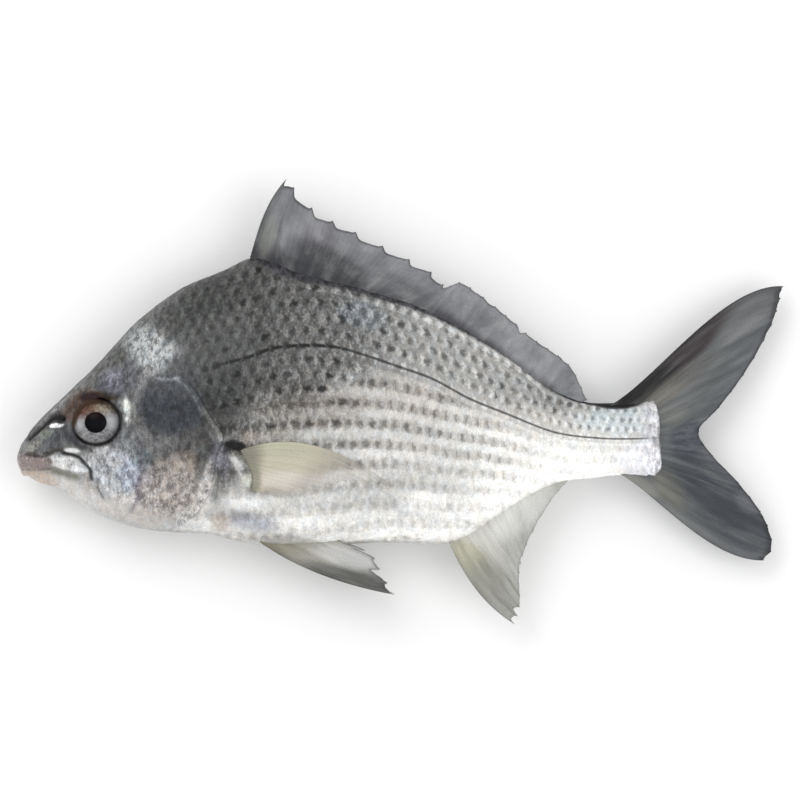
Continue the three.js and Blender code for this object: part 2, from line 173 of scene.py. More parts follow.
# creases, seams and ridges of the head: points, width, depth, screen colour and strength
headLines = {
    # the forehead groove's dark colour is painted shade in the groove
    "foreheadGroove": crease(
        [[-135.8, -13.9], [-131.6, -10.2], [-129.5, -8.2], [-127, -6.4], [-123, -6]],
        0.95, 0.9, [40, 40, 42], 0.92),
    # the dark colour of the upper lip's crease is painted shade in the crease
    "upperLipCrease": crease(
        [[-135.8, -19.5], [-133.6, -19.9], [-130.7, -20.3], [-126, -18.4], [-123.4, -18.1]],
        0.85, 0.5, [62, 58, 57], 0.88),
    "lipMark": crease([[-129, -20.4], [-127.6, -22.6]], 0.6, 0.3, [92, 84, 82], 0.7),
    "jawBoneEdge": crease(
        [[-123, -19.2], [-119.5, -19.9], [-117, -20.8], [-115, -22.6], [-112.9, -25.2], [-112.6, -28.6]],
        0.65, 0.7, [34, 34, 36], 0.9),
    "mouthSlit": crease([[-141, -25.5], [-133, -25.6], [-127.6, -25.2]], 0.5, 0.4, [146, 132, 124], 0.5),
    # the jaw seam's olive band is a painted shadow below the jaw bone
    "jawSeam": crease(
        [[-126.6, -25.8], [-122.6, -26.8], [-118.6, -28.2]],
        1.3, 0.5, [122, 121, 110], 0.8),
    "throatSeam": crease([[-110.6, -30.5], [-109.8, -33], [-108.4, -35.6]], 0.4, 0.4, [96, 92, 90], 0.6),
    "cheekSeam": crease(
        [[-94.2, -15], [-94.4, -18.8], [-94.6, -24], [-95.3, -35.2], [-98, -40]],
        0.8, 0.5, [104, 98, 112], 0.5),
    "paleLine": crease([[-116, -20.3], [-111.5, -25], [-105.5, -33.4]], 0.5, -0.15, [226, 228, 230], 0.5),
    "coverStreak": crease(
        [[-82, 8], [-77.5, 5], [-73.6, -1], [-70.5, -9], [-67.5, -15]],
        0.5, -0.03, [160, 166, 168], 0.28),
    "coverEdgePale": crease([[-70.8, -4], [-67, -9.5], [-64.8, -14]], 1.1, -0.05, [172, 176, 172], 0.55),
    "napeStreak": crease([[-88.7, 8.2], [-84, 7.6], [-80.4, 8.2]], 0.7, 0.15, [190, 194, 198], 0.35),
    # the fin crease's olive colour is a painted shadow along the root of the pectoral fin
    "finCrease": crease(
        [[-57.6, -19.6], [-54, -22.8], [-51.8, -26.8], [-53.7, -32.3]],
        1.7, 0.5, [122, 121, 108], 0.65),
}
upperJaw = {
    "frontX": -126.5, "rearX": -113.2, "y": -23.4, "halfHeight": 3.1, "step": 0.7, "slope": 0.16,
    "edge": 1.4,
}
lips = {"upperY": -22.4, "lowerY": -28.2, "reach": 2.9, "height": 0.9, "cornerX": -126}
nostril = {"shape": oval(-123.6, -7.4, 1.5, 0.8, 40), "depth": 1.1}
headLumps = ((5, 5, 0.16), (6, 1.6, 0.07))  # seed, size and height of the head's uneven skin
finPad = {"shape": oval(-57, -25, 5, 8.5, 12), "height": 0.9}  # the root of the pectoral fin


def middlePlane(x):
    tail = np.maximum(0, (x - 20) / 120)
    head = np.maximum(0, (-90 - x) / 50)
    rest = body["halfThickness"] - body["restFlattening"]
    return rest - body["tailDroop"] * tail ** 2 - body["headDroop"] * head ** 2


def sectionAt(x):
    top, bottom = backLine(x), bellyLine(x)
    return top, bottom, bottom + widestShare(x) * (top - bottom)


def eyeReach(x, y):
    return np.hypot((x - eye["x"]) / eye["radiusX"], (y - eye["y"]) / eye["radiusY"])


def browShare(x, y):
    # 1 in front of the eye and above it, where the skin of the brow overhangs the eyeball
    dx, dy = x - eye["x"], y - eye["y"]
    turned = np.degrees(np.arctan2(dy, dx)) - eye["browAngle"]
    return ease(np.abs(turned), eye["browSpread"], eye["browSpread"] - eye["browSoft"])


def plateRelief(x, y, covered):
    # what the gill cover, cheek, jaw bone, lips and eye rim add to the half thickness
    side = ease(y, body["coverTopY"], body["coverTopY"] - body["coverTopFade"])
    side = side * ease(y, *body["coverBottomFade"])
    beforeGill = gillEdge(y) - x
    lipRound = np.sqrt(1 - np.clip(1 - beforeGill / body["coverLip"], 0, 1) ** 2)
    cover = body["coverStep"] * ease(beforeGill, body["coverTaper"], 0) * mix(0.4, 1, lipRound)
    beforeCheek = cheekEdge(y) - x
    cheek = ease(beforeCheek, -1.5, 0) * ease(beforeCheek, body["cheekTaper"], 0)
    relief = side * (np.where(covered, cover, 0) + body["cheekStep"] * cheek)
    jaw = upperJaw
    inJaw = ease(x, jaw["frontX"] - 2, jaw["frontX"] + 1) * ease(x, jaw["rearX"] + 1, jaw["rearX"] - 1)
    jawY = jaw["y"] - jaw["slope"] * (x - jaw["frontX"])
    onJaw = ease(np.abs(y - jawY), jaw["halfHeight"], jaw["halfHeight"] - jaw["edge"])
    relief += jaw["step"] * inJaw * onJaw
    inLips = ease(x, lips["cornerX"] + 2, lips["cornerX"] - 4)
    for lipY in (lips["upperY"], lips["lowerY"]):
        roll = np.clip(1 - ((y - lipY) / lips["reach"]) ** 2, 0, 1)
        relief += lips["height"] * inLips * np.sqrt(roll)
    rim = np.exp(-(((eyeReach(x, y) * eye["radiusX"] - eye["rimRadius"]) / eye["rimWidth"]) ** 2))
    return relief + eye["rimHeight"] * rim


def skinHeight(x, y, covered=False):
    top, bottom, widest = sectionAt(x)
    above = y > widest
    edge = np.where(above, top, bottom)
    roundness = np.where(above, body["backRoundness"], body["bellyRoundness"])
    share = np.clip((y - widest) / (edge - widest), 0, 1)
    return (halfWidth(x) + plateRelief(x, y, covered)) * (1 - share ** 2) ** (roundness / 2)


# Above the side line the rows follow it. Below it they run nearly level and meet it one by one.
sideLine = curveThrough([
    [-84, 8], [-70, 11.5], [-61, 14.1], [-54.8, 15.8], [-47.4, 18.6], [-35.8, 19.9], [-23, 19.2],
    [-12.4, 16.2], [-0.7, 12.2], [10.6, 8.2], [25.2, 0.5], [38.3, -4.8], [56.9, -11.8],
    [71.9, -13.7], [96, -13.8],
])
levelLine = curveThrough([
    [-96, 2], [-70, 5.2], [-49.6, 6.4], [-36.9, 7.1], [-22.3, 7.1], [-7.7, 6], [0, 4.9],
    [10.6, 2], [36, -3.8], [58, -11.9], [72, -13.7], [96, -13.8],
])
rowHeightAbove = curveThrough([[-96, 4.2], [-60, 5], [-20, 5.3], [36, 4.8], [60, 3.8], [96, 3.3]])
rowHeightBelow = curveThrough([
    [-96, 7.2], [-70, 7.8], [-37, 7.9], [14, 6.6], [36, 5.9], [58, 4.6], [75, 4], [96, 3.6],
])
scale = {
    "pitchAbove": [[-100, 3.8], [-70, 4.6], [-40, 5.1], [-14, 5], [0, 4.5], [14, 4.3], [36, 4.1],
                   [60, 3.6], [75, 3.3], [96, 3.1]],
    "pitchBelow": [[-100, 3.9], [-60, 4.5], [-22, 4.6], [0, 4.1], [26, 3.9], [50, 3.7], [96, 3.3]],
    "bulge": 0.5, "overlap": 0.66, "lift": 0.15, "neutral": 0.4, "levelStart": -0.5,
    "wander": 0.12, "wanderSeed": 3, "wanderSize": 9, "frontRows": 3.4, "frontFade": (-4, -32),
}
# the row of scales along the root of the back fin, which gets a painted highlight; above it
# the skin is a smooth sheath
scaleTop = curveThrough([
    [-100, 60], [-62, 58], [-52, 50], [-45, 45.4], [-38, 43.4], [-24, 41], [-10, 37.1], [4, 32.9],
    [18, 27.1], [30.7, 20.2], [43.3, 12.6], [54.5, 3.4], [60, 0.6], [66.7, -0.4], [76, -3.4],
    [88, -1.4], [96, 4],
])


def countAlong(pitch):
    # how many scales lie between the front and x, where each is pitch(x) long
    xs = np.arange(pitch[0][0] - 45, pitch[-1][0] + 10, 0.5)
    counts = np.r_[0, np.cumsum(0.5 / curveThrough(pitch)(xs[:-1] + 0.25))]
    return lambda x: np.interp(x, xs, counts)


countAbove = countAlong(scale["pitchAbove"])
countBelow = countAlong(scale["pitchBelow"])


def scalePlace(x, y):
    # place of a point among the scales: (number along, row) above and below the side line
    gap = (y - sideLine(x)) / rowHeightAbove(x)
    rowBelow = (y - levelLine(x)) / rowHeightBelow(x)
    wander = scale["wander"] * lumps(scale["wanderSeed"], scale["wanderSize"], x, y)
    above = np.stack([countAbove(x) + wander, gap + 40], -1)
    below = np.stack([countBelow(x) + wander, rowBelow + 40], -1)
    return above, below, gap


def rowKind(x, gap):
    # under levelStart the rows run level; at the front those along the side line reach lower
    return gap + scale["frontRows"] * ease(x, *scale["frontFade"])


def scaleHeight(x, y):
    # 0 where a scale comes out from under its neighbours, 1 at its free rear edge
    above, below, gap = scalePlace(x, y)
    upper = (rowKind(x, gap) > scale["levelStart"])[..., None]
    u, v = np.moveaxis(np.where(upper, above, below), -1, 0)
    row = np.floor(v)
    picks = []
    for step in (0, 1):
        across = np.abs(v - row - step) / scale["overlap"]
        arc = scale["bulge"] * np.sqrt(np.clip(1 - across ** 2, 0, 1))
        ahead = 1 - (u - 0.5 * ((row + step) % 2) - arc) % 1
        centre = u + ahead - arc + np.where(across > 1, 10, 0)
        picks.append((centre, ahead, across))
    first = picks[0][0] < picks[1][0]
    ahead = np.where(first, picks[0][1], picks[1][1])
    across = np.where(first, picks[0][2], picks[1][2])
    height = (1 - ahead) * (1 - 0.35 * across ** 2)
    return mix(scale["neutral"], height, ease(np.abs(rowKind(x, gap) - scale["levelStart"]), 0, 0.35))


def scalyShare(x, y):
    # 1 where the skin has scales: behind the gill cover and nape, below the fin's sheath
    behindHead = x - gillEdge(y)
    soft = mix(0.6, 5, ease(y, 4, 16))
    shown = ease(behindHead, -0.4 * soft, soft) * ease(y, scaleTop(x) + 0.6, scaleTop(x) - 0.4)
    return shown * ease(x, 94.5, 86)


# lines of smooth skin, with the distances at which it ends and is at its smoothest
smoothLines = {
    "lipsToThroat": ([[-142, -27], [-128, -27], [-116, -33], [-105, -41], [-86, -46.5]], 7, 3),
    "upperJaw": ([[-124, -18.2], [-117.5, -18.2], [-116, -24]], 2.6, 1.2),
}


def calmShare(x, y):
    shares = [ease(lineGap(line, x, y), end, full) for line, end, full in smoothLines.values()]
    return 0.8 * np.maximum(*shares)


# how strong the dark marks are where they fade; a row of dots stands dotsUp from the belly's edge
markStrength = {
    "belly": 0.3, "tailStem": 0.12, "rear": 0.8, "nape": 0.7, "dots": 0.7, "dotsUp": 2.6,
}


def markedShare(x, y):
    depth = (sideLine(x) - y) / 40
    deep = ease(depth, mix(0.75, 0.35, ease(x, -20, 20)), mix(1.3, 0.85, ease(x, -20, 20)))
    rear = ease(depth, 0, 0.12) * ease(x, 26, 58)
    dots = ease(np.abs(y - bellyLine(x) - markStrength["dotsUp"]), 1.6, 0.8)
    dots = markStrength["dots"] * dots * ease(x, -32, -20) * ease(x, 12, 4)
    strong = mix(1, markStrength["rear"], ease(x, -24, 12))
    strong = strong * mix(1, markStrength["nape"], ease(x, -56, -74))
    strong = strong * mix(1, markStrength["belly"], deep) * mix(1, markStrength["tailStem"], rear)
    return np.maximum(strong * ease(x, 94, 84), dots)


# Brightness on the screen (0 to 255) of the back, flank and belly along the fish, and the heights,
# as shares of the body's depth, where the back starts to turn and has turned into the flank.
shadeStops = [-140, -125, -103, -92, -81, -72, -62, -51, -37, -22, -8, 7, 22, 36, 51, 65, 89, 96]
toneAlong = {
    "back": [116, 116, 118, 108, 84, 66, 72, 82, 98, 106, 130, 158, 163, 164, 164, 165, 165, 165],
    "flank": [150, 138, 130, 108, 92, 90, 106, 134, 172, 178, 186, 185, 199, 216, 220, 220, 200, 196],
    "belly": [196, 190, 190, 188, 190, 212, 214, 218, 232, 234, 238, 238, 242, 250, 252, 252, 218, 212],
    "flankTop": [.35, .3, .35, .3, .3, .24, .3, .4, .4, .56, .54, .55, .58, .54, .6, .62, .78, .8],
    "backEnd": [.6, .6, .6, .6, .56, .46, .5, .58, .58, .7, .76, .76, .78, .76, .85, .97, .95, .95],
    "bellyTop": [.35, .3, .35, .3, .3, .24, .3, .4, .34, .24, .2, .22, .3, .4, .5, .5, .6, .6],
}
toneCurve = {key: curveThrough(list(zip(shadeStops, row))) for key, row in toneAlong.items()}
bellyEnd = 0.03
# how wet the skin is, and how its base colour allows for the light that it throws back
skinLook = {
    "metallic": 0.25, "roughness": (0.27, 0.44), "specular": 0.25, "coat": 0.3, "markCoat": 0.04,
    "coatRoughness": 0.12, "bumpDepth": 0.0002, "gain": 0.95, "sheen": 0.022, "darkest": 0.004,
}
# patches of colour on the head, back, flank and belly; some are painted highlights and
# painted shade, as noted beside them
bodyPatches = {
    "crown": patch(-103, 17, 17, 4.4, [84, 86, 84], 0.8, 46),
    "browBrown": patch(-117.5, -3, 8, 4.6, [76, 60, 52], 0.9, 52),
    # dark brown skin along the top of the eye, with painted shadow under the brow
    "browTopAndShadow": patch(-109.8, 1.4, 7.8, 2, [50, 38, 24], 0.85),
    "browRear": patch(-105, 3.6, 6, 2.6, [52, 54, 60], 0.6, -18),
    "mauve": patch(-104.5, 7.5, 5, 5, [124, 124, 142], 0.5, 40),
    "mauveDark": patch(-98.4, 9, 3.6, 6, [78, 80, 86], 0.75),
    "napeSilver": patch(-89.8, 18, 11.8, 7.4, [158, 163, 165], 0.85, -34),
    "foreheadPale": patch(-128.4, -6.2, 8, 1.3, 142, 0.7, 50),
    "overCover": patch(-78, 10.5, 8.5, 6, [64, 66, 68], 0.75),
    "napeDark": patch(-74, 31, 13, 9, [72, 74, 73], 0.7, 30),
    "coverBlotch": patch(-83.2, -1.6, 12, 10.8, [62, 65, 70], 0.95, soft=0.25),
    "coverMid": patch(-87, -15.5, 8, 3, [112, 112, 114], 0.6),
    "shoulder": patch(-66, 10, 9, 12, [70, 72, 72], 0.7),
    "shoulderTop": patch(-57, 22.5, 9, 5, [66, 68, 68], 0.5),
    "blotchTail": patch(-76, -15, 6, 5, [92, 91, 91], 0.5),
    "cheekSilver": patch(-103.5, -25, 9.5, 9, [176, 180, 186], 0.85),
    "cheekBlue": patch(-98.6, -27, 3.2, 6.5, [166, 178, 200], 0.6),
    "cheekUpper": patch(-99, -14, 5, 6, [114, 118, 122], 0.6),
    "cheekRear": patch(-92.4, -29, 3.4, 7, [146, 140, 150], 0.6),
    "cheekSlate": patch(-93.6, -21.5, 3.4, 4.4, [104, 114, 120], 0.7),
    "beforeEye": patch(-124.5, -13, 8.4, 4.6, [88, 90, 93], 0.95, 24),
    # painted shadow of the eye socket, below and in front of the eye
    "underEyeShadow": patch(-117.4, -14.8, 5.2, 2, [48, 48, 52], 0.7, -38),
    "snoutPale": patch(-134, -16.6, 3.4, 1.8, [140, 140, 132], 0.7, 40),
    "snoutOlive": patch(-129.4, -12.2, 3, 1.7, [118, 126, 116], 0.6, 20),
    # painted shade in the nostril's pit
    "nostrilShade": patch(-125.6, -6.4, 2.6, 2.2, [58, 57, 58], 0.8),
    # painted highlight of the wet skin below the nostril
    "nostrilGlint": patch(-125.4, -9.1, 2.7, 0.85, [246, 247, 247], 1, 4, soft=0.25),
    "lipsPink": patch(-134, -22.6, 7.4, 3, [144, 131, 129], 0.95, -4),
    "lowerLip": patch(-131.4, -28.3, 7.4, 2.7, [192, 178, 166], 0.95, -16),
    "jawBone": patch(-119.4, -23.2, 7.4, 2.9, [186, 189, 191], 0.95, -12),
    # painted highlight along the pale jaw bone
    "jawHighlight": patch(-120.6, -24.4, 6.4, 1.1, [240, 241, 242], 0.7, -10),
    # painted highlight of the wet skin just above the jaw bone
    "jawSpotHighlight": patch(-119.8, -18.2, 2.9, 0.9, [236, 238, 240], 0.9, -4),
    "chin": patch(-117, -33.4, 11, 3.6, [218, 216, 214], 0.8, -32),
    "chinPink": patch(-114.6, -29.6, 2.8, 3, [182, 178, 178], 0.6),
    "throat": patch(-99, -40, 14, 4, [206, 202, 200], 0.7, -14),
    "behindEye": patch(-99.3, -3.6, 1.3, 5, [214, 219, 214], 0.8, 6),
    "coverPink": patch(-78, -22, 4.4, 3.8, [136, 122, 110], 0.55, -20),
    "coverLow": patch(-91, -37, 8, 7, [186, 180, 176], 0.6),
    "coverTan": patch(-82, -31.5, 10, 11, [166, 158, 152], 0.75),
    "coverRim": patch(-71, -33, 2.6, 12, [208, 204, 202], 0.7, -14),
    "behindCover": patch(-65, -21, 3.4, 7, [112, 112, 122], 0.7, 10),
    "axilBrown": patch(-54.6, -14.6, 4.6, 3.6, [140, 130, 124], 0.5, 30),
    "axilSpot": patch(-59.8, -16.2, 3.9, 1.7, [8, 8, 10], 0.97, -8),
    "finLobe": patch(-58.2, -24.6, 1.5, 6.4, [214, 213, 216], 0.75, 32),
    "lobeLow": patch(-54.4, -28.6, 3, 3.4, [192, 195, 184], 0.7),
    "breast": patch(-57.6, -36, 7, 3.8, [228, 228, 229], 0.7, -8),
    "breastBlue": patch(-54, -44, 9.5, 3.4, [146, 149, 160], 0.62, -11),
    # painted shade on the lowest part of the belly, which turns away from the light
    "bellyUnderShading": patch(-43, -51.2, 13, 2.4, [140, 138, 134], 0.55, -3),
    "breastTan": patch(-65.5, -44, 3.4, 3.6, [160, 146, 138], 0.55),
    "backBlue": patch(-14, 31, 9, 5, [122, 130, 140], 0.5, -15),
    "flankWarm": patch(-33, -2.4, 19, 7.4, [116, 110, 106], 0.42, 4),
    "flankPale": patch(-22, -27.6, 13, 3.6, [226, 224, 222], 0.5),
    "midPale": patch(-3, -18.6, 15, 5.5, [226, 224, 224], 0.35),
    "bellyPale": patch(8, -36.4, 9.5, 4, 250, 0.6),
    "rearBelow": patch(42, -6, 25, 4.8, [178, 175, 172], 0.5, -14),
    "rearWarm": patch(4, 0, 13, 8, [188, 182, 178], 0.4, -20),
    "stemBlue": patch(79, -7, 13, 5, [190, 204, 210], 0.6),
    "stemMauve": patch(91, -6, 3.6, 7, [200, 199, 206], 0.6),
    "stemRoot": patch(91, -17, 3, 8, [198, 200, 206], 0.65),
    "stemShade": patch(54, 0, 6.5, 4, 124, 0.45, -42),
    "overFin": patch(-45, -13.6, 9, 3, [126, 122, 114], 0.35),
    "belowFin": patch(-35, -36.4, 8, 2.8, 176, 0.5),
    "stemLilac": patch(88, -22, 9, 6, [224, 226, 236], 0.7),
}


# screen colours and strengths along the body's edges; those along the belly's lower edge and
# round the rim of the eye socket are painted shade
edgeTones = {
    "sheath": ([74, 74, 78], 0.9), "stem": ([40, 40, 42], 0.92), "crown": ([64, 66, 66], 0.7),
    "belly": ([150, 148, 144], 0.5), "socketShadow": ([44, 43, 45], 0.7), "tailRoot": ([150, 151, 155], 0.6),
}


def bodyShade(x, y):
    top, bottom, _ = sectionAt(x)
    height = (y - bottom) / (top - bottom)
    flankTop = toneCurve["flankTop"](x)
    rise = ease(height, bellyEnd, toneCurve["bellyTop"](x))
    low = mix(toneCurve["belly"](x), toneCurve["flank"](x), rise)
    grey = mix(low, toneCurve["back"](x), ease(height, flankTop, toneCurve["backEnd"](x)))
    shade = grey[..., None] * np.array([1.0, 1.004, 1.0])
    shade = painted(painted(shade, bodyPatches, x, y), headLines, x, y)
    # painted highlight on the top row of scales, below the fin's sheath
    topRowHighlight = ease(np.abs(y - scaleTop(x) + 1.4), 1.2, 0.6) * ease(x, -42, -28) * ease(x, 62, 50)
    shade = shade * (1 + 0.22 * topRowHighlight)[..., None]
    stemDeep = mix(1.1, 3, ease(x, 66, 82))
    shares = {
        "sheath": ease(y, scaleTop(x) - 0.2, scaleTop(x) + 0.9) * ease(x, -60, -48) * ease(x, 100, 92),
        "stem": ease(top - y, stemDeep, 0.4 * stemDeep) * ease(x, 52, 62) * ease(x, 91, 84),
        "crown": ease(top - y, 1.6, 0.3) * ease(x, -60, -75),
        # painted shade along the belly's lower edge and round the rim of the eye socket
        "belly": ease(y - bottom, 1.6, 0.2) * ease(x, -100, -80) * ease(x, 30, 10),
        "socketShadow": ease(eyeReach(x, y), 1.18, 1.02) * (1 - browShare(x, y)),
        "tailRoot": ease(rearEdge(y) - x, 1.3, 0) * ease(x, 88, 91),
    }
    for key, (ink, amount) in edgeTones.items():
        shade = inked(shade, ink, amount * shares[key])
    return np.minimum(shade, 255)


def meshPiece(name, points, faces, material, facts=None, sheetPlace=None):
    # points in millimetres; facts are named values at each point; sheetPlace is its bake layout
    mesh = bpy.data.meshes.new(name)
    mesh.from_pydata((np.asarray(points) * mm).tolist(), [], faces)
    mesh.polygons.foreach_set("use_smooth", np.ones(len(mesh.polygons), bool))
    kinds = {1: ("FLOAT", "value"), 3: ("FLOAT_VECTOR", "vector"), 4: ("FLOAT_COLOR", "color")}
    for key, values in (facts or {}).items():
        values = np.asarray(values, np.float32)
        kind, field = kinds[values.size // len(values)]
        mesh.attributes.new(key, kind, "POINT").data.foreach_set(field, values.ravel())
    if sheetPlace is not None:
        layer = mesh.uv_layers.new(name="OFBake")
        layer.data.foreach_set("uv", np.asarray(sheetPlace, np.float32).ravel())
    mesh.materials.append(material)
    mesh.update()
    piece = bpy.data.objects.new(name, mesh)
    bpy.context.scene.collection.objects.link(piece)
    return piece


def quads(a, b, c, d):
    return np.stack([a, b, c, d], -1).reshape(-1, 4).tolist()


def ringFaces(rings, steps):
    # a tube of rings whose ends close on two points that follow those of the rings
    corner = np.arange(rings * steps).reshape(rings, steps)
    after = np.roll(corner, -1, axis=1)
    faces = quads(corner[:-1], after[:-1], after[1:], corner[1:])
    faces += [[corner.size, b, a] for a, b in zip(corner[0].tolist(), after[0].tolist())]
    faces += [[corner.size + 1, a, b] for a, b in zip(corner[-1].tolist(), after[-1].tolist())]
    return faces


def toneOf(shade, look):
    # a screen colour as a base colour, less the light that the wet surface itself throws back
    base = np.maximum(linear(shade) * look["gain"] - look["sheen"], look["darkest"])
    return np.concatenate([base, np.ones(shade.shape[:-1] + (1,))], -1)


def evenAngles(steps, start, end):
    # angles whose points lie at even distances round the deepest section of the body
    angles = np.linspace(start, end, 2000)
    depth, width = 52, body["halfThickness"]
    pace = np.hypot(depth * np.sin(angles), width * np.cos(angles)) + 8
    walked = np.r_[0, np.cumsum((pace[1:] + pace[:-1]) / 2)]
    return np.interp(np.linspace(0, walked[-1], steps + 1)[:-1], walked, angles)


def bodyRings(y):
    # x where each ring crosses the height y: the rings follow the gill cover's edge and tail root
    headShare = (np.arange(body["headRings"] + 1) / body["headRings"])[:, None]
    trunkShare = (np.arange(body["trunkRings"] + 1) / body["trunkRings"])[:, None]
    headY, lipY, trunkY = np.split(y, [body["headRings"] + 1, body["headRings"] + 2])
    mean = body["gillMeanX"]
    head = mix(body["snoutX"], mean, headShare ** body["headCrowding"])
    head = head + headShare ** body["gillFollow"] * (gillEdge(headY) - mean)
    lipDepth = body["gillGapDepth"] * ease(lipY, body["coverTopY"], 0)
    lip = gillEdge(lipY) + 0.15 - lipDepth
    trunk = mix(mean + 0.5, body["tailRootX"], trunkShare)
    trunk = trunk + (1 - trunkShare) ** body["gillFollow"] * (gillEdge(trunkY) - mean)
    trunk = trunk + trunkShare ** body["rearFollow"] * (rearEdge(trunkY) - body["tailRootX"])
    return np.concatenate([head, lip, trunk])


def pressedFlat(z, floor=0.12, soft=0.8, fade=6):
    # the lower flank rests on the surface: nothing goes below the floor
    low = z - floor
    return floor + (low + np.sqrt(low ** 2 + soft ** 2)) / 2 - soft / 2 * np.exp(-np.abs(low) / fade)


def bodyPiece(material):
    angles = np.r_[
        evenAngles(body["shownSteps"], 0, math.pi),
        evenAngles(body["underSteps"], math.pi, 2 * math.pi),
    ]
    rings = body["headRings"] + body["trunkRings"] + 3
    up = np.broadcast_to(np.cos(angles), (rings, len(angles)))
    y = np.zeros_like(up)
    for _ in range(8):
        x = bodyRings(y)
        top, bottom, widest = sectionAt(x)
        y = widest + up * np.where(up > 0, top - widest, widest - bottom)
    covered = (np.arange(rings) <= body["headRings"])[:, None]
    side = np.sign(np.sin(angles) + 1e-12)
    height = skinHeight(x, y, covered)
    points = np.stack([x, y, side * height], -1)
    along = np.gradient(points, axis=0)
    wrapped = np.concatenate([points[:, -1:], points, points[:, :1]], 1)
    around = (wrapped[:, 2:] - wrapped[:, :-2]) / 2
    normal = np.cross(around, along)
    normal /= np.linalg.norm(normal, axis=-1, keepdims=True) + 1e-9

    scaly = scalyShare(x, y)
    raised = scale["lift"] * scaly * (scaleHeight(x, y) - scale["neutral"])
    raised += (1 - scaly) * sum(rise * lumps(seed, size, x, y * 0.6) for seed, size, rise in headLumps)
    for shareAt, _, _, depth in headLines.values():
        raised -= depth * shareAt(x, y)
    raised -= nostril["depth"] * nostril["shape"](x, y)
    raised += finPad["height"] * finPad["shape"](x, y)
    points = points + normal * raised[..., None]
    inward = eye["browReach"] * browShare(x, y)
    socket = ease(eyeReach(x, y), eye["socketStart"] - inward, eye["socketEnd"] - inward)
    z = np.abs(points[..., 2])
    z = side * np.where(z > eye["socketFloor"], mix(z, eye["socketFloor"], socket), z)
    points[..., 2] = pressedFlat(z + middlePlane(points[..., 0]))
    snoutX, rearX = body["snoutX"], body["rearMiddleX"]
    ends = [
        [snoutX, (backLine(snoutX) + bellyLine(snoutX)) / 2, middlePlane(snoutX)],
        [rearX, body["rearMiddleY"], middlePlane(rearX)],
    ]

    # bake layout: the upper flank fills the upper half of the square, the lower one the rest
    shown, under = body["shownSteps"], body["underSteps"]
    columns = np.linspace(0.004, 0.996, rings)
    rows = np.r_[np.linspace(0.996, 0.504, shown + 1), np.linspace(0.496, 0.004, under + 1)]
    start = np.r_[np.arange(shown), shown + 1 + np.arange(under)]
    corners = [
        np.stack(np.meshgrid(columns[i:][:rings - 1], rows[start + j], indexing="ij"), -1)
        for i, j in ((0, 0), (0, 1), (1, 1), (1, 0))]
    capLayout = np.tile([[0.001, 0.5], [0.002, 0.5], [0.0015, 0.501]], (2 * len(angles), 1))
    layout = np.concatenate([np.stack(corners, 2).reshape(-1, 2), capLayout])

    above, below, gap = scalePlace(x, y)
    zero = np.zeros(x.shape + (1,))
    facts = {
        "tone": toneOf(bodyShade(x, y), skinLook),
        "rowsAbove": np.concatenate([above, zero], -1),
        "rowsBelow": np.concatenate([below, zero], -1),
        "lineGap": gap,
        "rowKind": rowKind(x, gap),
        "scaly": scaly,
        "marked": markedShare(x, y),
        "calm": calmShare(x, y),
        "flankSpot": np.stack([x, y, side * height], -1),
    }
    facts = {
        key: np.concatenate([values.reshape(-1, *values.shape[2:]), values[[0, -1], 0]])
        for key, values in facts.items()
    }
    points = np.concatenate([points.reshape(-1, 3), ends])
    return meshPiece("fish_body", points, ringFaces(rings, len(angles)), material, facts, layout)


# A fin is a fan of rays. A key ray gives its number, root, two bends (none if straight) and tip.
# Each fin takes over what it doesn't state itself:
anyFin = {
    "webSteps": 10, "rows": 46, "spines": 0, "spineSpread": 0, "spineBand": (0.03, 0.28),
    "webGap": 0.018, "firstWeb": 0.7, "splits": {}, "rayRidge": 0.4, "rayWidth": 0.17,
    "spineRidge": 1.3, "softRidge": 0.7, "ridge": 1, "rimHalf": 0.22, "rimSlope": 24,
    "rootBand": (0.08, 0.4), "edgeBand": (0.5, 1), "rimBand": (0.95, 0.99), "taper": 2.4,
    "pale": 0.35, "gain": 1.0, "sheen": 0.012, "darkest": 0.004,
    "paleStreak": (0.8, 0.8, 0.78), "darkStreak": (0.42, 0.41, 0.42), "roughness": (0.36, 0.5),
    "specular": 0.2, "coat": 0.15, "coatRoughness": 0.25, "bumpDepth": 0.00015,
}
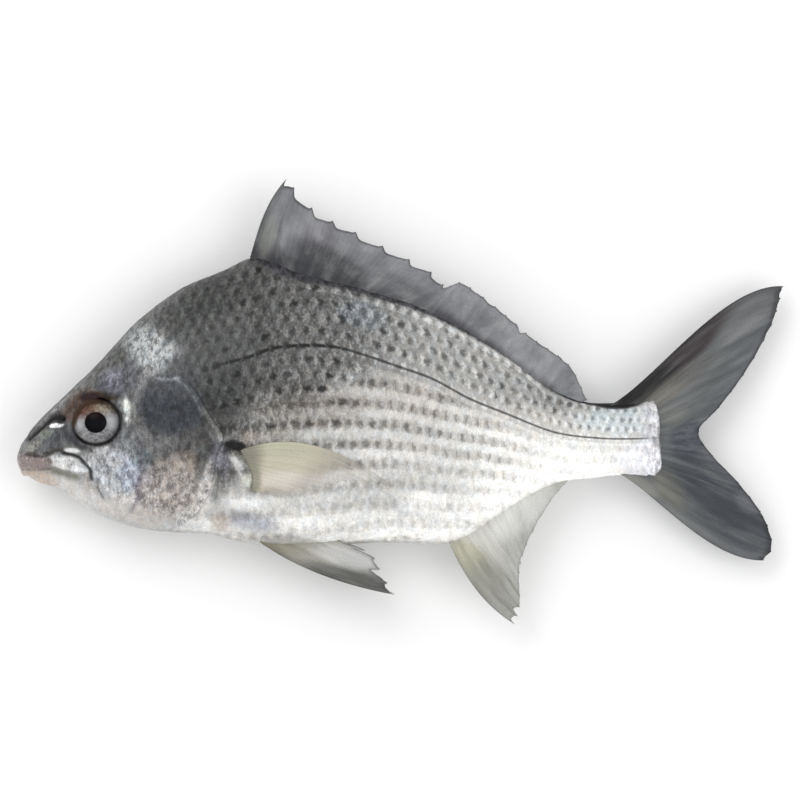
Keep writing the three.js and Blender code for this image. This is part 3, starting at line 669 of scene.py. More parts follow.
dorsalFin = {
    **anyFin,
    "name": "fin_dorsal", "rays": 24, "spines": 11, "spineSpread": 0.064, "rootHalf": 2, "edgeHalf": 0.3,
    "keys": [
        [0, [-57, 46], [[-53.2, 56], [-51.9, 70.4]], [-41.5, 81.2]],
        [1, [-47.5, 45], [[-47, 58], [-44.6, 68.5]], [-38.9, 77.9]],
        [2, [-40, 44], None, [-32.4, 70.6]], [4, [-28, 40.5], None, [-16.4, 61.6]],
        [6, [-15, 37], None, [3.2, 51.6]], [7, [-8, 35], None, [11.2, 47]],
        [8, [-2, 33], None, [15.6, 42.4]], [10, [10, 29], None, [21.5, 43.4]],
        [13, [24, 21], None, [34.5, 34.4]], [17, [41, 10], None, [49.6, 21.8]],
        [20, [52, 2], None, [61.2, 13.4]], [23, [60, -3], None, [68.2, 0.2]],
    ],
    "root": [76, 76, 80], "middle": [124, 126, 129], "edge": [132, 133, 138],
    "patches": {
        "frontOlive": patch(-48.6, 60, 2.6, 8, [126, 128, 120], 0.6, -12),
        "baseDark": patch(-38, 47.4, 11, 3.8, [56, 57, 61], 0.75, -20),
        "frontLine": patch(-44.6, 58, 0.8, 7, [82, 82, 84], 0.6, -8),
        "paleFront": patch(-39.4, 61, 3.8, 6, [150, 151, 154], 0.6),
        "purpleTip": patch(-30, 58, 7, 6, [122, 119, 126], 0.5),
        "paleRear": patch(46, 18, 14, 7, [158, 159, 162], 0.5, -42),
        "darkWeb": patch(-25.5, 49.4, 16, 5.6, [56, 57, 60], 0.75, -29),
        "darkMiddle": patch(1, 39.5, 13, 4.4, [88, 89, 92], 0.65, -24),
        "greyRear": patch(30, 29, 9, 4, [112, 113, 117], 0.5, -36),
    },
    "rayDark": 0.16, "streaks": 0.45, "branches": 0.06, "ragged": 0.02, "wave": 0.35, "webDip": 0.03,
    "rootBand": (0.2, 0.42), "rimDark": 0.35, "splits": {15.6: 0.07},
    "clear": {"start": 0.3, "end": 0.9, "most": 0.1, "rayHold": 1},
}
tailFin = {
    **anyFin,
    "name": "fin_tail", "rays": 21, "rootHalf": 1.3, "edgeHalf": 0.25,
    "keys": [
        [0, [73, -3], [[88.5, 0.7], [116.6, 43.8]], [140.5, 41.9]],
        [3, [84, -6], [[101, 8], [118.5, 20.5]], [136, 27.8]],
        [6, [86, -9], None, [125.6, 9.4]], [8, [86, -11], None, [116.5, -2.6]],
        [10, [86, -13], None, [109.1, -11.3]], [12, [86, -16], None, [114.2, -20.2]],
        [14, [86, -18.5], None, [123.6, -30]],
        [17, [84, -21], [[101, -29.5], [117.5, -38]], [134.5, -45.8]],
        [19, [80, -23.5], [[97, -34], [115.5, -51]], [135.8, -55.4]],
        [20, [77, -25.5], [[90, -29.8], [111.5, -59.2]], [132.9, -58.6]],
    ],
    "root": [96, 99, 100], "middle": [98, 101, 102], "edge": [92, 95, 99],
    "patches": {
        "upperBand": patch(104.5, 18.4, 23, 4.6, [54, 48, 51], 0.92, 44),
        "upperRoot": patch(89, 4, 13, 3.6, [18, 17, 18], 0.9, 34),
        "upperOlive": patch(99, 5, 16, 3.5, [122, 119, 110], 0.7, 38),
        "upperEdge": patch(127, 31, 14, 5, [116, 118, 118], 0.7, 38),
        "forkBlue": patch(105.5, -14.5, 6.5, 6.5, [52, 57, 67], 0.8),
        "midSlate": patch(107, 11, 9, 3, [84, 84, 86], 0.6, 36),
        "rootGrey": patch(99, -5.5, 6, 3.6, [116, 118, 114], 0.6),
        "lowerOlive": patch(99, -32.5, 8, 5, [116, 115, 107], 0.75, -45),
        "lowerSlate": patch(118.5, -37.5, 24, 10, [58, 62, 68], 0.8, -42),
        "lowerPale": patch(126.5, -37.5, 5, 3, [112, 114, 120], 0.5, -45),
        "lowerRoot": patch(87, -30.6, 8, 2.4, [140, 139, 134], 0.7, -30),
    },
    "rayDark": 0.08, "streaks": 0.48, "pale": 0.2, "branches": 0.05, "ragged": 0.006, "wave": 0.5,
    "webDip": 0.01, "rimDark": 0.3,
}
analFin = {
    **anyFin,
    "name": "fin_anal", "rays": 14, "spines": 3, "spineSpread": 0.05, "rootHalf": 1.8, "edgeHalf": 0.25,
    "keys": [
        [0, [15.2, -46], [[21.3, -62.3], [29.4, -74.6]], [41.9, -81.9]],
        [2, [21, -45], [[30, -58.5], [37.5, -68.4]], [43.4, -75.6]],
        [5, [29, -40.5], None, [43.4, -63]], [8, [38, -34], None, [46, -52.6]],
        [11, [49, -28], None, [54.6, -37]], [13, [57, -26], None, [61, -29.2]],
    ],
    "root": [212, 211, 204], "middle": [198, 198, 190], "edge": [180, 181, 176],
    "patches": {
        "yellowFront": patch(24, -57, 5, 9, [178, 176, 150], 0.7, 50),
        "paleRear": patch(44, -40, 14, 6, [224, 224, 220], 0.9, 45),
        "greyLow": patch(34, -68.5, 13, 7, [142, 142, 132], 0.75, -52),
    },
    "rayDark": 0.2, "streaks": 0.45, "branches": 0.12, "ragged": 0.02, "wave": 0.4, "webDip": 0.015,
    "rimDark": 0.15, "clear": {"start": 0.3, "end": 0.8, "most": 0.4, "rayHold": 0.6},
}
pelvicFin = {
    **anyFin,
    "name": "fin_pelvic", "rays": 6, "spines": 1, "rootHalf": 1.2, "edgeHalf": 0.25,
    "rootOffset": 4, "tipOffset": 6.5,
    "keys": [
        [0, [-56, -48], [[-42.7, -59], [-25, -66.6]], [-1.8, -70.8]],
        [1, [-50, -46], [[-36, -56], [-19.5, -62.7]], [-4.6, -66.8]],
        [2, [-43, -46], None, [-7.4, -61.8]], [3, [-40, -46], None, [-9.2, -57.9]],
        [4, [-37, -46], None, [-13, -54.8]], [5, [-34, -46], None, [-19.5, -52.4]],
    ],
    "root": [140, 136, 116], "middle": [160, 158, 148], "edge": [152, 152, 149],
    "patches": {
        "darkTip": patch(-18, -64.8, 17, 3, [92, 93, 90], 0.85, -17),
        "paleRear": patch(-19, -57, 12, 4, [214, 214, 213], 0.8, -14),
    },
    "rayDark": 0.25, "streaks": 0.45, "branches": 0.12, "ragged": 0.03, "wave": 0.25, "webDip": 0.03,
    "rimDark": 0.2, "clear": {"start": 0.3, "end": 0.9, "most": 0.25, "rayHold": 0.6},
    "splits": {1.6: 0.08, 3.5: 0.2},
}
pectoralFin = {
    **anyFin,
    "name": "fin_pectoral", "rays": 13, "sunk": 0.3, "raised": 0.7,
    "keys": [
        [0, [-58, -18], [[-41, -11], [-22, -16]], [-2.4, -31.6]],
        [2, [-57.5, -19], [[-40.5, -15], [-24, -19]], [-8, -30.5]],
        [5, [-55.5, -22.5], None, [-19.5, -29.2]], [9, [-53.5, -28], None, [-31, -33.6]],
        [12, [-54, -32.4], None, [-43, -35.4]],
    ],
    "root": [146, 145, 130], "middle": [194, 188, 170], "edge": [202, 198, 188],
    "patches": {
        "greenTop": patch(-44, -17.5, 15, 3, [182, 184, 160], 0.6, -3),
        "paleLow": patch(-36, -30, 17, 4, [218, 210, 201], 0.8, -6),
        "rootShade": patch(-57, -19, 6, 5, [126, 121, 112], 0.7, soft=0.6),
        # painted shadow across the root of the fin
        "crescentShadow": patch(-53.4, -27, 2.4, 6.5, [140, 139, 122], 0.7, 10),
    },
    "rootBand": (0.03, 0.2),
    "rayDark": 0.05, "streaks": 0.15, "branches": 0.03, "ragged": 0.03, "wave": 0, "webDip": 0.03,
    "rimDark": 0, "ridge": 0.4,
    "clear": {"start": 0.46, "end": 0.9, "most": 0.85, "lowRays": (8.5, 12.5), "rayHold": 0.35},
}


def rayCurve(keys):
    controls = []
    for _, root, bends, tip in keys:
        straight = [[mix(root[0], tip[0], t), mix(root[1], tip[1], t)] for t in (1 / 3, 2 / 3)]
        controls.append([root, *(bends or straight), tip])
    tracks = [[
        curveThrough([[key[0], control[i][axis]] for key, control in zip(keys, controls)])
        for i in range(4)] for axis in (0, 1)]

    def placeAt(at, along):
        t, r = along, 1 - along
        weights = (r ** 3, 3 * t * r ** 2, 3 * t ** 2 * r, t ** 3)
        return [sum(w * track(at) for w, track in zip(weights, axis)) for axis in tracks]

    return placeAt


def finPiece(fin, material, side=0, name=None):
    # side 0 stands in the middle plane; +1 and -1 are the paired fins of either flank
    steps, rows = fin["webSteps"], fin["rows"]
    columns = np.arange((fin["rays"] - 1) * steps + 1) / steps
    between = columns % 1
    nearRay = np.minimum(between, 1 - between)
    spiny = columns < fin["spines"] - 1
    dip = fin["spineSpread"] * (1 - between ** 2) * ease(between, *fin["spineBand"]) + fin["webGap"]
    dip = dip * np.where(columns < 1, fin["firstWeb"], 1)
    softDip = fin["webDip"] * (0.4 + nearRay)
    for split, depth in fin["splits"].items():
        softDip = softDip + depth * ease(np.abs(columns - split), 0.42, 0)
    reach = 1 - np.where(nearRay < 1e-6, 0, np.where(spiny, dip, softDip))
    frayed = lumps(11 + fin["rays"], 0.7, columns, 0 * columns)
    reach -= fin["ragged"] * np.abs(frayed) * np.where(nearRay < 1e-6, 0.3, 1)
    at = np.repeat(columns[:, None], rows + 1, 1)
    along = (np.arange(rows + 1) / rows)[None, :] * reach[:, None]
    x, y = rayCurve(fin["keys"])(at, along)
    ridge = fin["rayRidge"] * np.exp(-((nearRay / fin["rayWidth"]) ** 2))[:, None] * (1 - 0.6 * along)
    strong = np.where(at < fin["spines"] - 0.5, fin["spineRidge"], fin["softRidge"])
    ridge = ridge * strong * fin["ridge"]
    ridge = ridge * ease(along, 0.04, 0.2)
    if "raised" in fin:
        lift = fin["raised"] * mix(0.8, 1.3, along) + 0.5 * ridge
        base = skinHeight(x, y) + finPad["height"] * finPad["shape"](x, y)
        sheets = [side * (base + lift), side * (base - fin["sunk"])]
    else:
        offset = side * mix(fin["rootOffset"], fin["tipOffset"], along) if side else 0
        wave = fin["wave"] * np.sin(at * 1.3 + 5 * along + side) * along
        half = mix(fin["edgeHalf"], fin["rootHalf"], (1 - along) ** fin["taper"]) + ridge
        half = np.minimum(half, fin["rimHalf"] + fin["rimSlope"] * (1 - along / reach[:, None]))
        sheets = [offset + wave + half, offset + wave - half]
    drop = middlePlane(x)
    near, far = [np.stack([x, y, pressedFlat(z + drop)], -1) for z in sheets]
    if side < 0:
        near, far = far, near
    count, deep = at.shape
    one, two = np.arange(2 * count * deep).reshape(2, count, deep)
    faces = quads(one[:-1, :-1], one[1:, :-1], one[1:, 1:], one[:-1, 1:])
    faces += quads(two[:-1, :-1], two[:-1, 1:], two[1:, 1:], two[1:, :-1])
    rimOne = np.r_[one[:-1, 0], one[-1, :-1], one[:0:-1, -1], one[0, :0:-1]]
    rimTwo = np.r_[two[:-1, 0], two[-1, :-1], two[:0:-1, -1], two[0, :0:-1]]
    faces += quads(rimOne, rimTwo, np.roll(rimTwo, -1), np.roll(rimOne, -1))

    shade = inked(np.array(fin["root"], float), fin["middle"], ease(along, *fin["rootBand"]))
    shade = inked(shade, fin["edge"], ease(along, *fin["edgeBand"]))
    shade = painted(shade, fin["patches"], x, y)
    outerRay = np.exp(-((at / 0.35) ** 2)) * ease(along, 0.05, 0.3)
    webEdge = ease(along / reach[:, None], *fin["rimBand"])
    shade = shade * (1 - fin["rimDark"] * np.maximum(outerRay, webEdge))[..., None]
    both = {"tone": toneOf(shade, fin), "ray": at, "along": along}
    both["flankSpot"] = np.stack([x, y, np.full_like(x, 20 * side)], -1)
    facts = {
        key: np.concatenate([values.reshape(-1, *values.shape[2:])] * 2)
        for key, values in both.items()
    }
    points = np.concatenate([near.reshape(-1, 3), far.reshape(-1, 3)])
    return meshPiece(name or fin["name"], points, faces, material, facts)


class Wire:
    # a node's output, which adds and multiplies like a number
    def __init__(self, socket):
        self.socket = socket

    def maths(self, operation, *others):
        return addNode("Math", dict(enumerate((self, *others))), operation=operation)

    def __rsub__(self, other):
        return addNode("Math", {0: other, 1: self}, operation="SUBTRACT")

    __add__ = lambda self, other: self.maths("ADD", other)
    __sub__ = lambda self, other: self.maths("SUBTRACT", other)
    __mul__ = lambda self, other: self.maths("MULTIPLY", other)
    __truediv__ = lambda self, other: self.maths("DIVIDE", other)
    __abs__ = lambda self: self.maths("ABSOLUTE")
    root = lambda self: self.maths("SQRT")
    atLeast = lambda self, other: self.maths("MAXIMUM", other)
    below = lambda self, other: self.maths("LESS_THAN", other)

    def band(self, start, end, low=0.0, high=1.0):
        # eases from low to high as the value goes from start to end
        inputs = {"Value": self, "From Min": start, "From Max": end, "To Min": low, "To Max": high}
        return addNode("MapRange", inputs, interpolation_type="SMOOTHSTEP")

    def mixed(self, one, two):
        # goes from one value to another as this share goes from 0 to 1
        return self * (two - one) + one

    def tinted(self, colour):
        return blend(1.0, self, colour, "MULTIPLY")

    def stretched(self, amounts):
        return addNode("VectorMath", {0: self, 1: amounts}, operation="MULTIPLY")

    def noise(self, size, detail=2.0, rough=0.5, output="Fac"):
        inputs = {"Vector": self, "Scale": size, "Detail": detail, "Roughness": rough}
        return addNode("TexNoise", inputs, output)

    def axes(self):
        return list(everyOutput(addNode("SeparateXYZ", {0: self})).values())


def plug(socket, value):
    # a wire or a fixed value; on a colour input one number is a grey
    if isinstance(value, Wire):
        socket.id_data.links.new(value.socket, socket)
    elif socket.type == "RGBA":
        socket.default_value = (*np.broadcast_to(value, 3).tolist(), 1)
    else:
        socket.default_value = value


def addNode(kind, inputs, output=0, tree=None, **settings):
    # goes into the tree of its first wire, unless the tree is given
    tree = tree or next(v.socket.id_data for v in inputs.values() if isinstance(v, Wire))
    node = tree.nodes.new("ShaderNode" + kind)
    for key, value in settings.items():
        setattr(node, key, value)
    for key, value in inputs.items():
        plug(node.inputs[key], value)
    return Wire(node.outputs[output])


def everyOutput(wire):
    return {socket.name: Wire(socket) for socket in wire.socket.node.outputs}


def blend(share, one, two, way="MIX"):
    # a colour between two others
    inputs = {0: share, 6: one, 7: two}
    return addNode("Mix", inputs, 2, data_type="RGBA", blend_type=way)


def newGroup(name, inputs):
    group = bpy.data.node_groups.new(name, "ShaderNodeTree")
    for key, kind in inputs.items():
        group.interface.new_socket(name=key, in_out="INPUT", socket_type="NodeSocket" + kind)
    given = group.nodes.new("NodeGroupInput").outputs
    return group, {key: Wire(given[key]) for key in inputs}


def closeGroup(group, values):
    for key in values:
        group.interface.new_socket(name=key, in_out="OUTPUT", socket_type="NodeSocketFloat")
    out = group.nodes.new("NodeGroupOutput").inputs
    for key, value in values.items():
        plug(out[key], value)
    return group


def place(group, inputs):
    return everyOutput(addNode("Group", inputs, node_tree=group))


def newMaterial(name):
    # the material, its shader's inputs, and a reader of the facts that a mesh carries
    material = bpy.data.materials.new(name)
    material.use_nodes = True
    tree = material.node_tree

    def fact(key, output="Fac"):
        return addNode("Attribute", {}, output, tree, attribute_name=key)

    return material, tree.nodes["Principled BSDF"].inputs, fact


def dress(shader, height, strength, depth, look):
    # bumps as deep as depth in metres, and the shader's other inputs by name
    bumps = {"Height": height, "Strength": strength, "Distance": depth}
    for key, value in {"Normal": addNode("Bump", bumps), **look}.items():
        plug(shader[key], value)


def scalePattern():
    # the scales' outlines and marks, from a point's place among the rows
    group, given = newGroup("scale pattern", {
        "Rows Above": "Vector", "Rows Below": "Vector", "Row Kind": "Float", "Wander": "Vector",
        "Long": "Float"})
    kind, long = given["Row Kind"], given["Long"]
    level = kind.below(scale["levelStart"])
    rows = {0: level, 4: given["Rows Above"], 5: given["Rows Below"]}
    chosen = addNode("Mix", rows, 1, data_type="VECTOR")
    along, height, _ = addNode("VectorMath", {0: chosen, 1: given["Wander"]}).axes()
    row = height.maths("FLOOR")
    share = height - row
    picks = []
    for step in (0.0, 1.0):
        number, across = row + step, share - step
        wide = across / scale["overlap"]
        left = (1.0 - wide * wide).atLeast(0.0)
        arc = left.root() * scale["bulge"]
        odd = number.maths("FLOORED_MODULO", 2.0) * 0.5
        ahead = 1.0 - (along - odd - arc).maths("FRACT")
        outside = left.below(1e-6) * 10.0
        picks.append((along + ahead - arc + outside, ahead, across, number))
    second = picks[1][0].below(picks[0][0])
    centre, ahead, across, number = [second.mixed(a, b) for a, b in zip(*picks)]
    wide = abs(across)
    cell = {0: (centre * 2.0).maths("ROUND"), 1: number, 2: level}
    cell = {"Vector": addNode("CombineXYZ", cell)}
    chance = addNode("TexWhiteNoise", cell, "Value", noise_dimensions="3D")

    def ovalMark(middle, length, width, start, end):
        x = (ahead - middle) / ((chance * 0.5 + 0.7) * length)
        y = wide / width
        return (x * x + y * y).root().band(start, end)

    apart = abs(kind - scale["levelStart"]).band(0.0, 0.35)
    return closeGroup(group, {
        "Height": apart.mixed(0.5, 1.0 - ahead), "Ahead": ahead, "Chance": chance, "Below": level,
        "Spot": apart * ovalMark(middle=0.68, length=0.27, width=0.33, start=1.25, end=0.3),
        "Dash": apart * ovalMark(0.62, long.mixed(0.15, 0.42), long.mixed(0.28, 0.16), 1.35, 0.2),
        # Glint: where each scale's free edge gets its painted highlight
        "Glint": apart * (ahead.band(0.42, 0.14) * wide.band(0.46, 0.22)),
        "Row": across.band(-0.36, -0.16) * across.band(0.46, 0.1),
    })


def flecks():
    # silvery mottling: soft clouds, streaks across the body, small bright flecks and fine grain
    group, given = newGroup("silver flecks", {"Place": "Vector", "Stretch": "Vector"})
    spot = given["Place"]
    drawn = spot.stretched(given["Stretch"])
    fine, coarse = drawn.noise(0.95, 2.0, 0.5), drawn.noise(0.62, 3.0, 0.6)
    return closeGroup(group, {
        "Cloud": spot.noise(0.14, 3.0).band(0.3, 0.7),
        "Streak": drawn.noise(0.42, 6.0, 0.68).band(0.34, 0.66),
        "Fleck": drawn.noise(0.85, 4.0, 0.72).band(0.52, 0.66),
        "Worm": abs(drawn.noise(0.26, 3.0, 0.55) - 0.5).band(0.045, 0.01),
        "Speck": fine.band(0.52, 0.62), "Pit": fine.band(0.46, 0.36),
        "Shard": coarse.band(0.53, 0.62), "Slit": coarse.band(0.47, 0.38),
        "Grain": spot.noise(2.2, 2.0, 0.7).band(0.34, 0.66),
    })


def rayPattern():
    # a line on each ray of a fin, finer branches towards the edge and cross joints
    group, given = newGroup("fin rays", {"Ray": "Float", "Along": "Float"})
    ray, along = given["Ray"], given["Along"]
    fine = (ray * 5.0).maths("PINGPONG", 0.5).band(0.4, 0.1)
    return closeGroup(group, {
        "Ray": ray.maths("PINGPONG", 0.5).band(0.2, 0.06),
        "Branch": fine * along.band(0.15, 0.6),
        "Joint": (along * 34.0).maths("PINGPONG", 0.5).band(0.12, 0.02),
    })


scaleGroup, fleckGroup, rayGroup = scalePattern(), flecks(), rayPattern()


# what is drawn on the skin: multiples of its own tone, then light values; the inks of the
# scales' free edges are painted highlights
skinInks = {
    "darkCloud": (0.4, 0.39, 0.41), "paleCloud": (1.55, 1.56, 1.57), "slit": (0.42, 0.41, 0.42),
    "shard": 1.8, "belowLine": 1.3, "betweenRows": (0.65, 0.615, 0.585), "glintOnDark": 2.7,
    "speck": 2.2, "pit": 0.45, "mark": 0.15, "warm": (1.035, 1.0, 0.955), "cool": (0.985, 1.0, 1.01),
    "fleck": (0.86, 0.89, 0.92), "worm": (0.88, 0.9, 0.91), "edge": (0.95, 0.96, 0.97),
    "sideLine": (0.008, 0.008, 0.009),
}


def skinMaterial():
    material, shader, fact = newMaterial("wet scaly skin")
    ink, look = skinInks, skinLook
    tone, spot = fact("tone", "Color"), fact("flankSpot", "Vector")
    scaly, marked, calm = fact("scaly"), fact("marked"), fact("calm")
    spotX, spotY, _ = spot.axes()
    silver = place(fleckGroup, {"Place": spot, "Stretch": (1.1, 0.6, 0.8)})
    brightness = addNode("RGBToBW", {0: tone})
    black, rugged = brightness.band(0.03, 0.008), 1.0 - calm

    # head: clouds and streaks, with bright flecks where the skin is silvery
    clouds = tone.tinted(ink["darkCloud"]), tone.tinted(ink["paleCloud"])
    headTone = blend(calm, blend(silver["Streak"], *clouds), tone)
    flecked = silver["Fleck"] * brightness.band(0.1, 0.4, 0.04, 0.6)
    flecked = calm.mixed(flecked, flecked * 0.3) * (1.0 - black)
    headTone = blend(flecked, headTone, ink["fleck"])
    worms = silver["Worm"] * brightness.band(0.14, 0.34, 0.0, 0.6) * spotY.band(-9.0, 4.0, 0.25, 1.0)
    headTone = blend(worms * rugged * silver["Cloud"], headTone, ink["worm"])
    slits = silver["Slit"] * spotY.band(-3.0, 6.0, 0.4, 0.7)
    headTone = blend(rugged * slits, headTone, tone.tinted(ink["slit"]))
    shards = silver["Shard"] * spotY.band(-3.0, 6.0, 0.45, 0.8)
    headTone = blend(rugged * shards, headTone, tone.tinted(ink["shard"]))

    # trunk: a dark mark on each scale, a painted highlight on its free edge, and pale lines between the
    # rows
    wobble = {0: spot.noise(0.55, 3.0, output="Color"), 1: (0.5, 0.5, 0.5)}
    wobble = addNode("VectorMath", wobble, operation="SUBTRACT")
    marks = place(scaleGroup, {
        "Rows Above": fact("rowsAbove", "Vector"),
        "Rows Below": fact("rowsBelow", "Vector"),
        "Row Kind": fact("rowKind"), "Long": spotX.band(4.0, -24.0),
        "Wander": wobble.stretched((0.8, 0.5, 0.0))})
    level, chance = marks["Below"], marks["Chance"]
    line, front = abs(fact("lineGap")), spotX.band(-12.0, -34.0)
    mark = level.mixed(marks["Spot"], marks["Dash"] * 0.95) * chance.mixed(0.65, 1.15)
    mark = mark * (silver["Cloud"].mixed(0.7, 1.0) * marked) * line.band(0.25, 0.5).atLeast(front)
    edge = marks["Glint"] * chance.mixed(1.0, 0.45) * brightness.band(0.08, 0.3, 0.75, 0.7)
    row = marks["Row"] * level * marked.mixed(0.15, 0.95)
    trunkTone = blend(level * 0.85, tone, tone.tinted(ink["belowLine"]))
    trunkTone = blend(row, trunkTone, tone.tinted(ink["betweenRows"]))
    # the painted highlight: pale on light skin, a brighter copy of the tone on dark skin
    bright = blend(0.45, tone.tinted(1.3), ink["edge"])
    bright = blend(brightness.band(0.08, 0.26), tone.tinted(ink["glintOnDark"]), bright)
    trunkTone = blend(edge * level.mixed(1.0, 0.45), trunkTone, bright)
    peppered = silver["Speck"] * brightness.band(0.3, 0.1, 0.1, 0.6)
    trunkTone = blend(peppered, trunkTone, tone.tinted(ink["speck"]))
    pitted = silver["Pit"] * brightness.band(0.3, 0.1, 0.1, 0.5)
    trunkTone = blend(pitted, trunkTone, tone.tinted(ink["pit"]))
    trunkTone = blend(mark, trunkTone, tone.tinted(ink["mark"]))
    shaken = brightness.band(0.1, 0.5).mixed(0.28, 0.14)
    trunkTone = trunkTone.tinted(silver["Streak"].mixed(1.0 - shaken, shaken + 1.0))
    lineEnd = front.mixed(0.045, 0.075)
    onLine = {"Value": line, "From Min": lineEnd + 0.1, "From Max": lineEnd}
    onLine = addNode("MapRange", onLine) * spotX.band(-67.0, -62.0)
    onLine = onLine * marks["Ahead"].band(0.95, 0.7, front.mixed(0.72, 0.2), front.mixed(0.84, 1.0))
    trunkTone = blend(onLine, trunkTone, ink["sideLine"])

    # warm and cool tints, and fine grain over all
    finished = blend(scaly, headTone, trunkTone)
    tint = spot.noise(0.3, 3.0, 0.6).band(0.35, 0.65)
    finished = finished.tinted(blend(tint, ink["warm"], ink["cool"]))
    rough = brightness.band(0.1, 0.5).mixed(0.24, 0.11)
    finished = finished.tinted(silver["Grain"].mixed(1.0 - rough, rough + 1.0))
    height = marks["Height"] * (scaly * 0.7) + silver["Grain"] * 0.35 + silver["Streak"] * 0.6
    dark = (mark * scaly).atLeast(onLine * scaly).atLeast(black)
    dress(shader, height, 0.6, look["bumpDepth"], {
        "Base Color": finished, "Metallic": look["metallic"],
        "Roughness": silver["Cloud"].mixed(*look["roughness"]),
        "Specular IOR Level": look["specular"],
        "Coat Weight": dark.mixed(look["coat"], look["markCoat"]),
        "Coat Roughness": look["coatRoughness"],
    })
    return material


def finMaterial(fin):
    material, shader, fact = newMaterial(fin["name"].replace("_", " "))
    tone, spot = fact("tone", "Color"), fact("flankSpot", "Vector")
    along, ray = fact("along"), fact("ray")
    rays = place(rayGroup, {"Ray": ray, "Along": along})
    silver = place(fleckGroup, {"Place": spot, "Stretch": (1.0, 1.0, 1.0)})
    alongRay = addNode("CombineXYZ", {0: ray, 1: along})
    streak = alongRay.stretched((0.9, 1.9, 1.0)).noise(1.0, 5.0, 0.6)
    dark = tone.tinted(fin["darkStreak"])
    light = blend(fin["pale"], tone, fin["paleStreak"])
    shown = blend(streak.band(0.45, 0.72, 0.0, fin["streaks"]), tone, light)
    shown = blend(streak.band(0.52, 0.3, 0.0, fin["streaks"]), shown, dark)
    shown = blend(rays["Ray"] * fin["rayDark"], shown, dark)
    shown = blend(rays["Branch"] * fin["branches"], shown, light)
    shown = blend(rays["Joint"] * fin["branches"], shown, dark)
    look = {
        "Base Color": blend(silver["Grain"].band(0.0, 1.0, 0.25, 0.0), shown, dark),
        "Roughness": silver["Cloud"].mixed(*fin["roughness"]), "Specular IOR Level": fin["specular"],
        "Coat Weight": fin["coat"], "Coat Roughness": fin["coatRoughness"],
    }
    if "clear" in fin:
        clear = fin["clear"]
        web = along.band(clear["start"], clear["end"], 0.0, clear["most"])
        if "lowRays" in clear:
            web = web.atLeast(ray.band(*clear["lowRays"], 0.0, clear["most"]) * along.band(0.2, 0.5))
        look["Alpha"] = 1.0 - web * rays["Ray"].mixed(1.0, 1.0 - clear["rayHold"])
    height = rays["Branch"] * 0.4 + rays["Ray"] + silver["Grain"] * 0.3
    dress(shader, height, 0.5, fin["bumpDepth"], look)
    return material


# the pupil in shares of the eye's radius and the lens in millimetres; then light values: dark and
# pale fibres of each zone, the dark rims, the pupil and a painted bluish reflection in the pupil
iris = {
    "pupilX": -0.02, "pupilY": -0.03, "pupil": 0.45, "lensBulge": 0.4, "lensGroove": 0.35,
    "silver": ((0.12, 0.12, 0.125), (0.29, 0.29, 0.295)), "silverSides": (0.43, 0.44, 0.45),
    "amber": ((0.055, 0.03, 0.022), (0.17, 0.088, 0.06)),
    "olive": ((0.13, 0.105, 0.08), (0.3, 0.26, 0.2)),
    "topDark": (0.02, 0.013, 0.008), "outerRim": (0.05, 0.047, 0.047),
    "frontRim": (0.042, 0.022, 0.013), "pupilInk": (0.001, 0.001, 0.0015),
    "pupilReflectionTint": (0.02, 0.024, 0.034), "pupilTop": (0.008, 0.002, 0.001),
    "roughness": 0.3, "specular": 0.05, "coatRoughness": 0.05, "bumpDepth": 0.0001,
}


def eyeMaterial():
    material, shader, fact = newMaterial("wet eye")
    spot = fact("eyeSpot", "Vector")
    x, y, _ = spot.axes()
    dx, dy = x - iris["pupilX"], y - iris["pupilY"]
    reach, outer = (dx * dx + dy * dy).root(), (x * x + y * y).root()
    fibres = spot.stretched((5.0, 5.0, 1.0)).noise(1.4, 4.0, 0.65)
    veins = fibres.band(0.35, 0.65)
    silver = blend(veins, *iris["silver"])
    sides = abs(dx).band(0.3, 0.7) * abs(y).band(0.5, 0.1)
    silver = blend(sides * 0.8, silver, iris["silverSides"])
    amber = blend(veins, *iris["amber"])
    olive = blend(veins, *iris["olive"])
    sloped = x * -0.22 + y
    ring = blend(sloped.band(0.0, 0.56), silver, blend(x.band(-0.25, 0.25), amber, olive))
    topDark = outer.band(0.66, 0.86) * sloped.band(0.1, 0.5) * x.band(0.15, 0.6, 1.0, 0.4)
    ring = blend(topDark, ring, iris["topDark"])
    ring = blend(outer.band(0.84, 1.0), ring, iris["outerRim"])
    ring = blend((y - x).band(0.3, 0.9) * outer.band(0.7, 0.86), ring, iris["frontRim"])
    rim = iris["pupil"]
    # a painted bluish reflection, strongest in the middle of the pupil
    reflectionShare = spot.noise(2.0, 2.0) * reach.band(rim, 0.1, 0.0, 0.25)
    pupil = blend(reflectionShare, iris["pupilInk"], iris["pupilReflectionTint"])
    pupil = blend(y.band(0.05, 0.35), pupil, iris["pupilTop"])
    dress(shader, fibres, 0.2, iris["bumpDepth"], {
        "Base Color": blend(reach.band(rim + 0.02, rim - 0.02), ring, pupil),
        "Coat Weight": reach.band(rim - 0.02, rim + 0.1, 0.03, 0.15) * outer.band(0.9, 0.72),
        "Coat Roughness": iris["coatRoughness"], "Roughness": iris["roughness"],
        "Specular IOR Level": iris["specular"],
    })
    return material


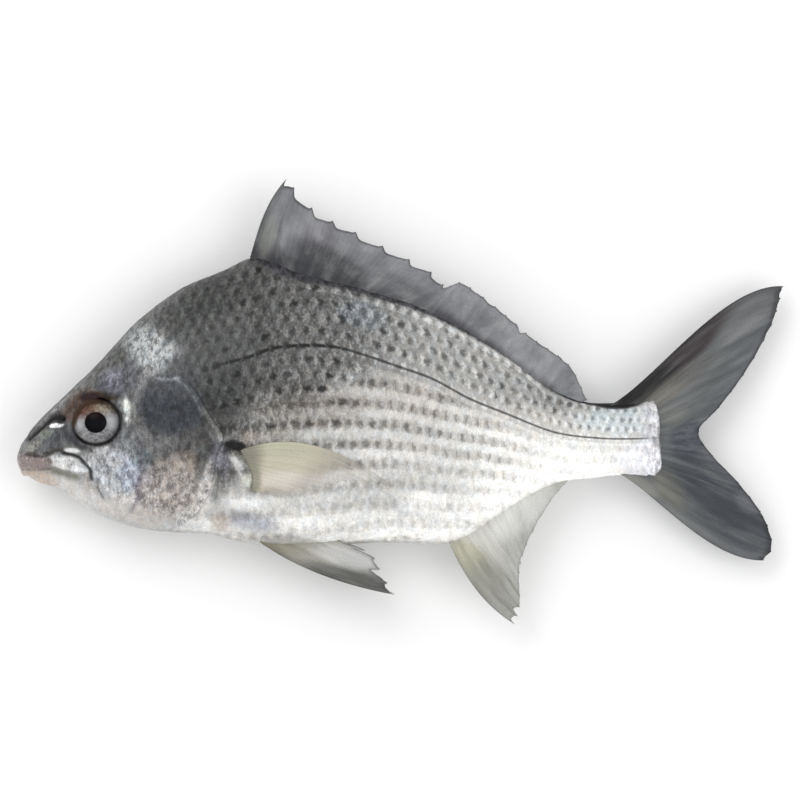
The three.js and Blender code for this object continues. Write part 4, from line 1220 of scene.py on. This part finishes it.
def eyePiece(name, side, material):
    around, down = 96, 64
    turn = np.linspace(0, 2 * math.pi, around, endpoint=False)[None, :]
    tilt = np.linspace(0, math.pi, down + 1)[1:-1][:, None]
    u, v = np.sin(tilt) * np.cos(turn), np.sin(tilt) * np.sin(turn)
    w = np.cos(tilt) + 0 * turn
    lens = np.hypot(u - iris["pupilX"], v - iris["pupilY"]) / iris["pupil"]
    bulge = iris["lensBulge"] * np.sqrt(np.clip(1 - lens ** 2, 0, 1))
    bulge -= iris["lensGroove"] * ease(lens, 1.5, 1.0)
    depth = eye["halfDepth"] * w + np.where(w > 0, bulge, 0)
    x, y = eye["x"] + eye["radiusX"] * u, eye["y"] + eye["radiusY"] * v
    z = side * (eye["z"] + depth) + middlePlane(x)
    points = np.stack([x, y, pressedFlat(z)], -1).reshape(-1, 3)
    centre = side * eye["z"] + float(middlePlane(eye["x"]))
    lensTop = side * (eye["halfDepth"] + iris["lensBulge"] * 0.9 - iris["lensGroove"])
    heights = pressedFlat(np.array([centre + lensTop, centre - side * eye["halfDepth"]]))
    ends = [[eye["x"], eye["y"], height] for height in heights]
    faces = [face[:1] + face[:0:-1] for face in ringFaces(down - 1, around)]
    if side < 0:
        faces = [face[::-1] for face in faces]
    spots = np.stack([u, v, w], -1).reshape(-1, 3)
    facts = {"eyeSpot": np.concatenate([spots, [[0, 0, 1], [0, 0, -1]]])}
    return meshPiece(name, np.concatenate([points, ends]), faces, material, facts)


def settle(piece, slotName, *nodes):
    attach(piece, "root")
    if nodes:
        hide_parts(*nodes)


bodyObject = bodyPiece(skinMaterial())
settle(bodyObject, "skin", "fish")
print("body made", len(bodyObject.data.polygons))
for fin in (dorsalFin, tailFin, analFin):
    settle(finPiece(fin, finMaterial(fin)), "skin")
pelvicLook, pectoralLook = finMaterial(pelvicFin), finMaterial(pectoralFin)
for side, word in ((1, "left"), (-1, "right")):
    settle(finPiece(pelvicFin, pelvicLook, side, "fin_pelvic_" + word), "skin")
    settle(finPiece(pectoralFin, pectoralLook, side, "fin_pectoral_" + word), "skin")
print("fins made")
eyeLook = eyeMaterial()
for side, word in ((1, "left"), (-1, "right")):
    settle(eyePiece("eyeball_" + word, side, eyeLook), "eye", "eye_" + word)
print("eyes made")


studio = {
    "floorSize": 4000, "floorDrop": 0.3, "floorTone": (0.9, 0.93), "floorRoughness": 0.9,
    "worldStrength": 0.9, "lens": 250, "sensor": 36,
}
lights = {  # places and sizes in metres
    "keySoftbox": {"place": (-0.55, 0.75, 1.25), "size": 0.9, "power": 6.0},
    "fillSoftbox": {"place": (0.8, -0.2, 1.2), "size": 0.9, "power": 3.0},
}
view = {"pixels": 800, "mmPerPixel": 0.365, "middleX": -0.365, "middleY": 0.18, "planeZ": 19}


def floorPiece():
    material, shader, _ = newMaterial("pale table")
    grain = addNode("TexCoord", {}, "Object", material.node_tree).noise(30.0)
    plug(shader["Base Color"], blend(grain, *studio["floorTone"]))
    plug(shader["Roughness"], studio["floorRoughness"])
    reach, drop = studio["floorSize"] / 2, studio["floorDrop"]
    corners = [(a * reach, b * reach, -drop) for a, b in ((-1, -1), (1, -1), (1, 1), (-1, 1))]
    meshPiece("floor", corners, [[0, 1, 2, 3]], material)


def softbox(name, look):
    lamp = bpy.data.lights.new(name, "AREA")
    lamp.shape, lamp.size, lamp.energy = "SQUARE", look["size"], look["power"]
    holder = bpy.data.objects.new(name, lamp)
    holder.location = look["place"]
    aim = -holder.location.normalized()
    holder.rotation_euler = aim.to_track_quat("-Z", "Y").to_euler()
    bpy.context.scene.collection.objects.link(holder)


floorPiece()
for name, look in lights.items():
    softbox(name, look)
world = bpy.data.worlds.new("studio")
world.use_nodes = True
world.node_tree.nodes["Background"].inputs[0].default_value = (1, 1, 1, 1)
world.node_tree.nodes["Background"].inputs[1].default_value = studio["worldStrength"]
bpy.context.scene.world = world
bpy.context.scene.view_settings.view_transform = "Standard"

lensData = bpy.data.cameras.new("camera")
lensData.lens, lensData.sensor_width = studio["lens"], studio["sensor"]
lensData.clip_start, lensData.clip_end = 0.05, 20
cameraObject = bpy.data.objects.new("camera", lensData)
shownWidth = view["pixels"] * view["mmPerPixel"] * mm
height = shownWidth * studio["lens"] / studio["sensor"] + view["planeZ"] * mm
cameraObject.location = (view["middleX"] * mm, view["middleY"] * mm, height)
bpy.context.scene.collection.objects.link(cameraObject)
bpy.context.scene.camera = cameraObject
print("studio ready")
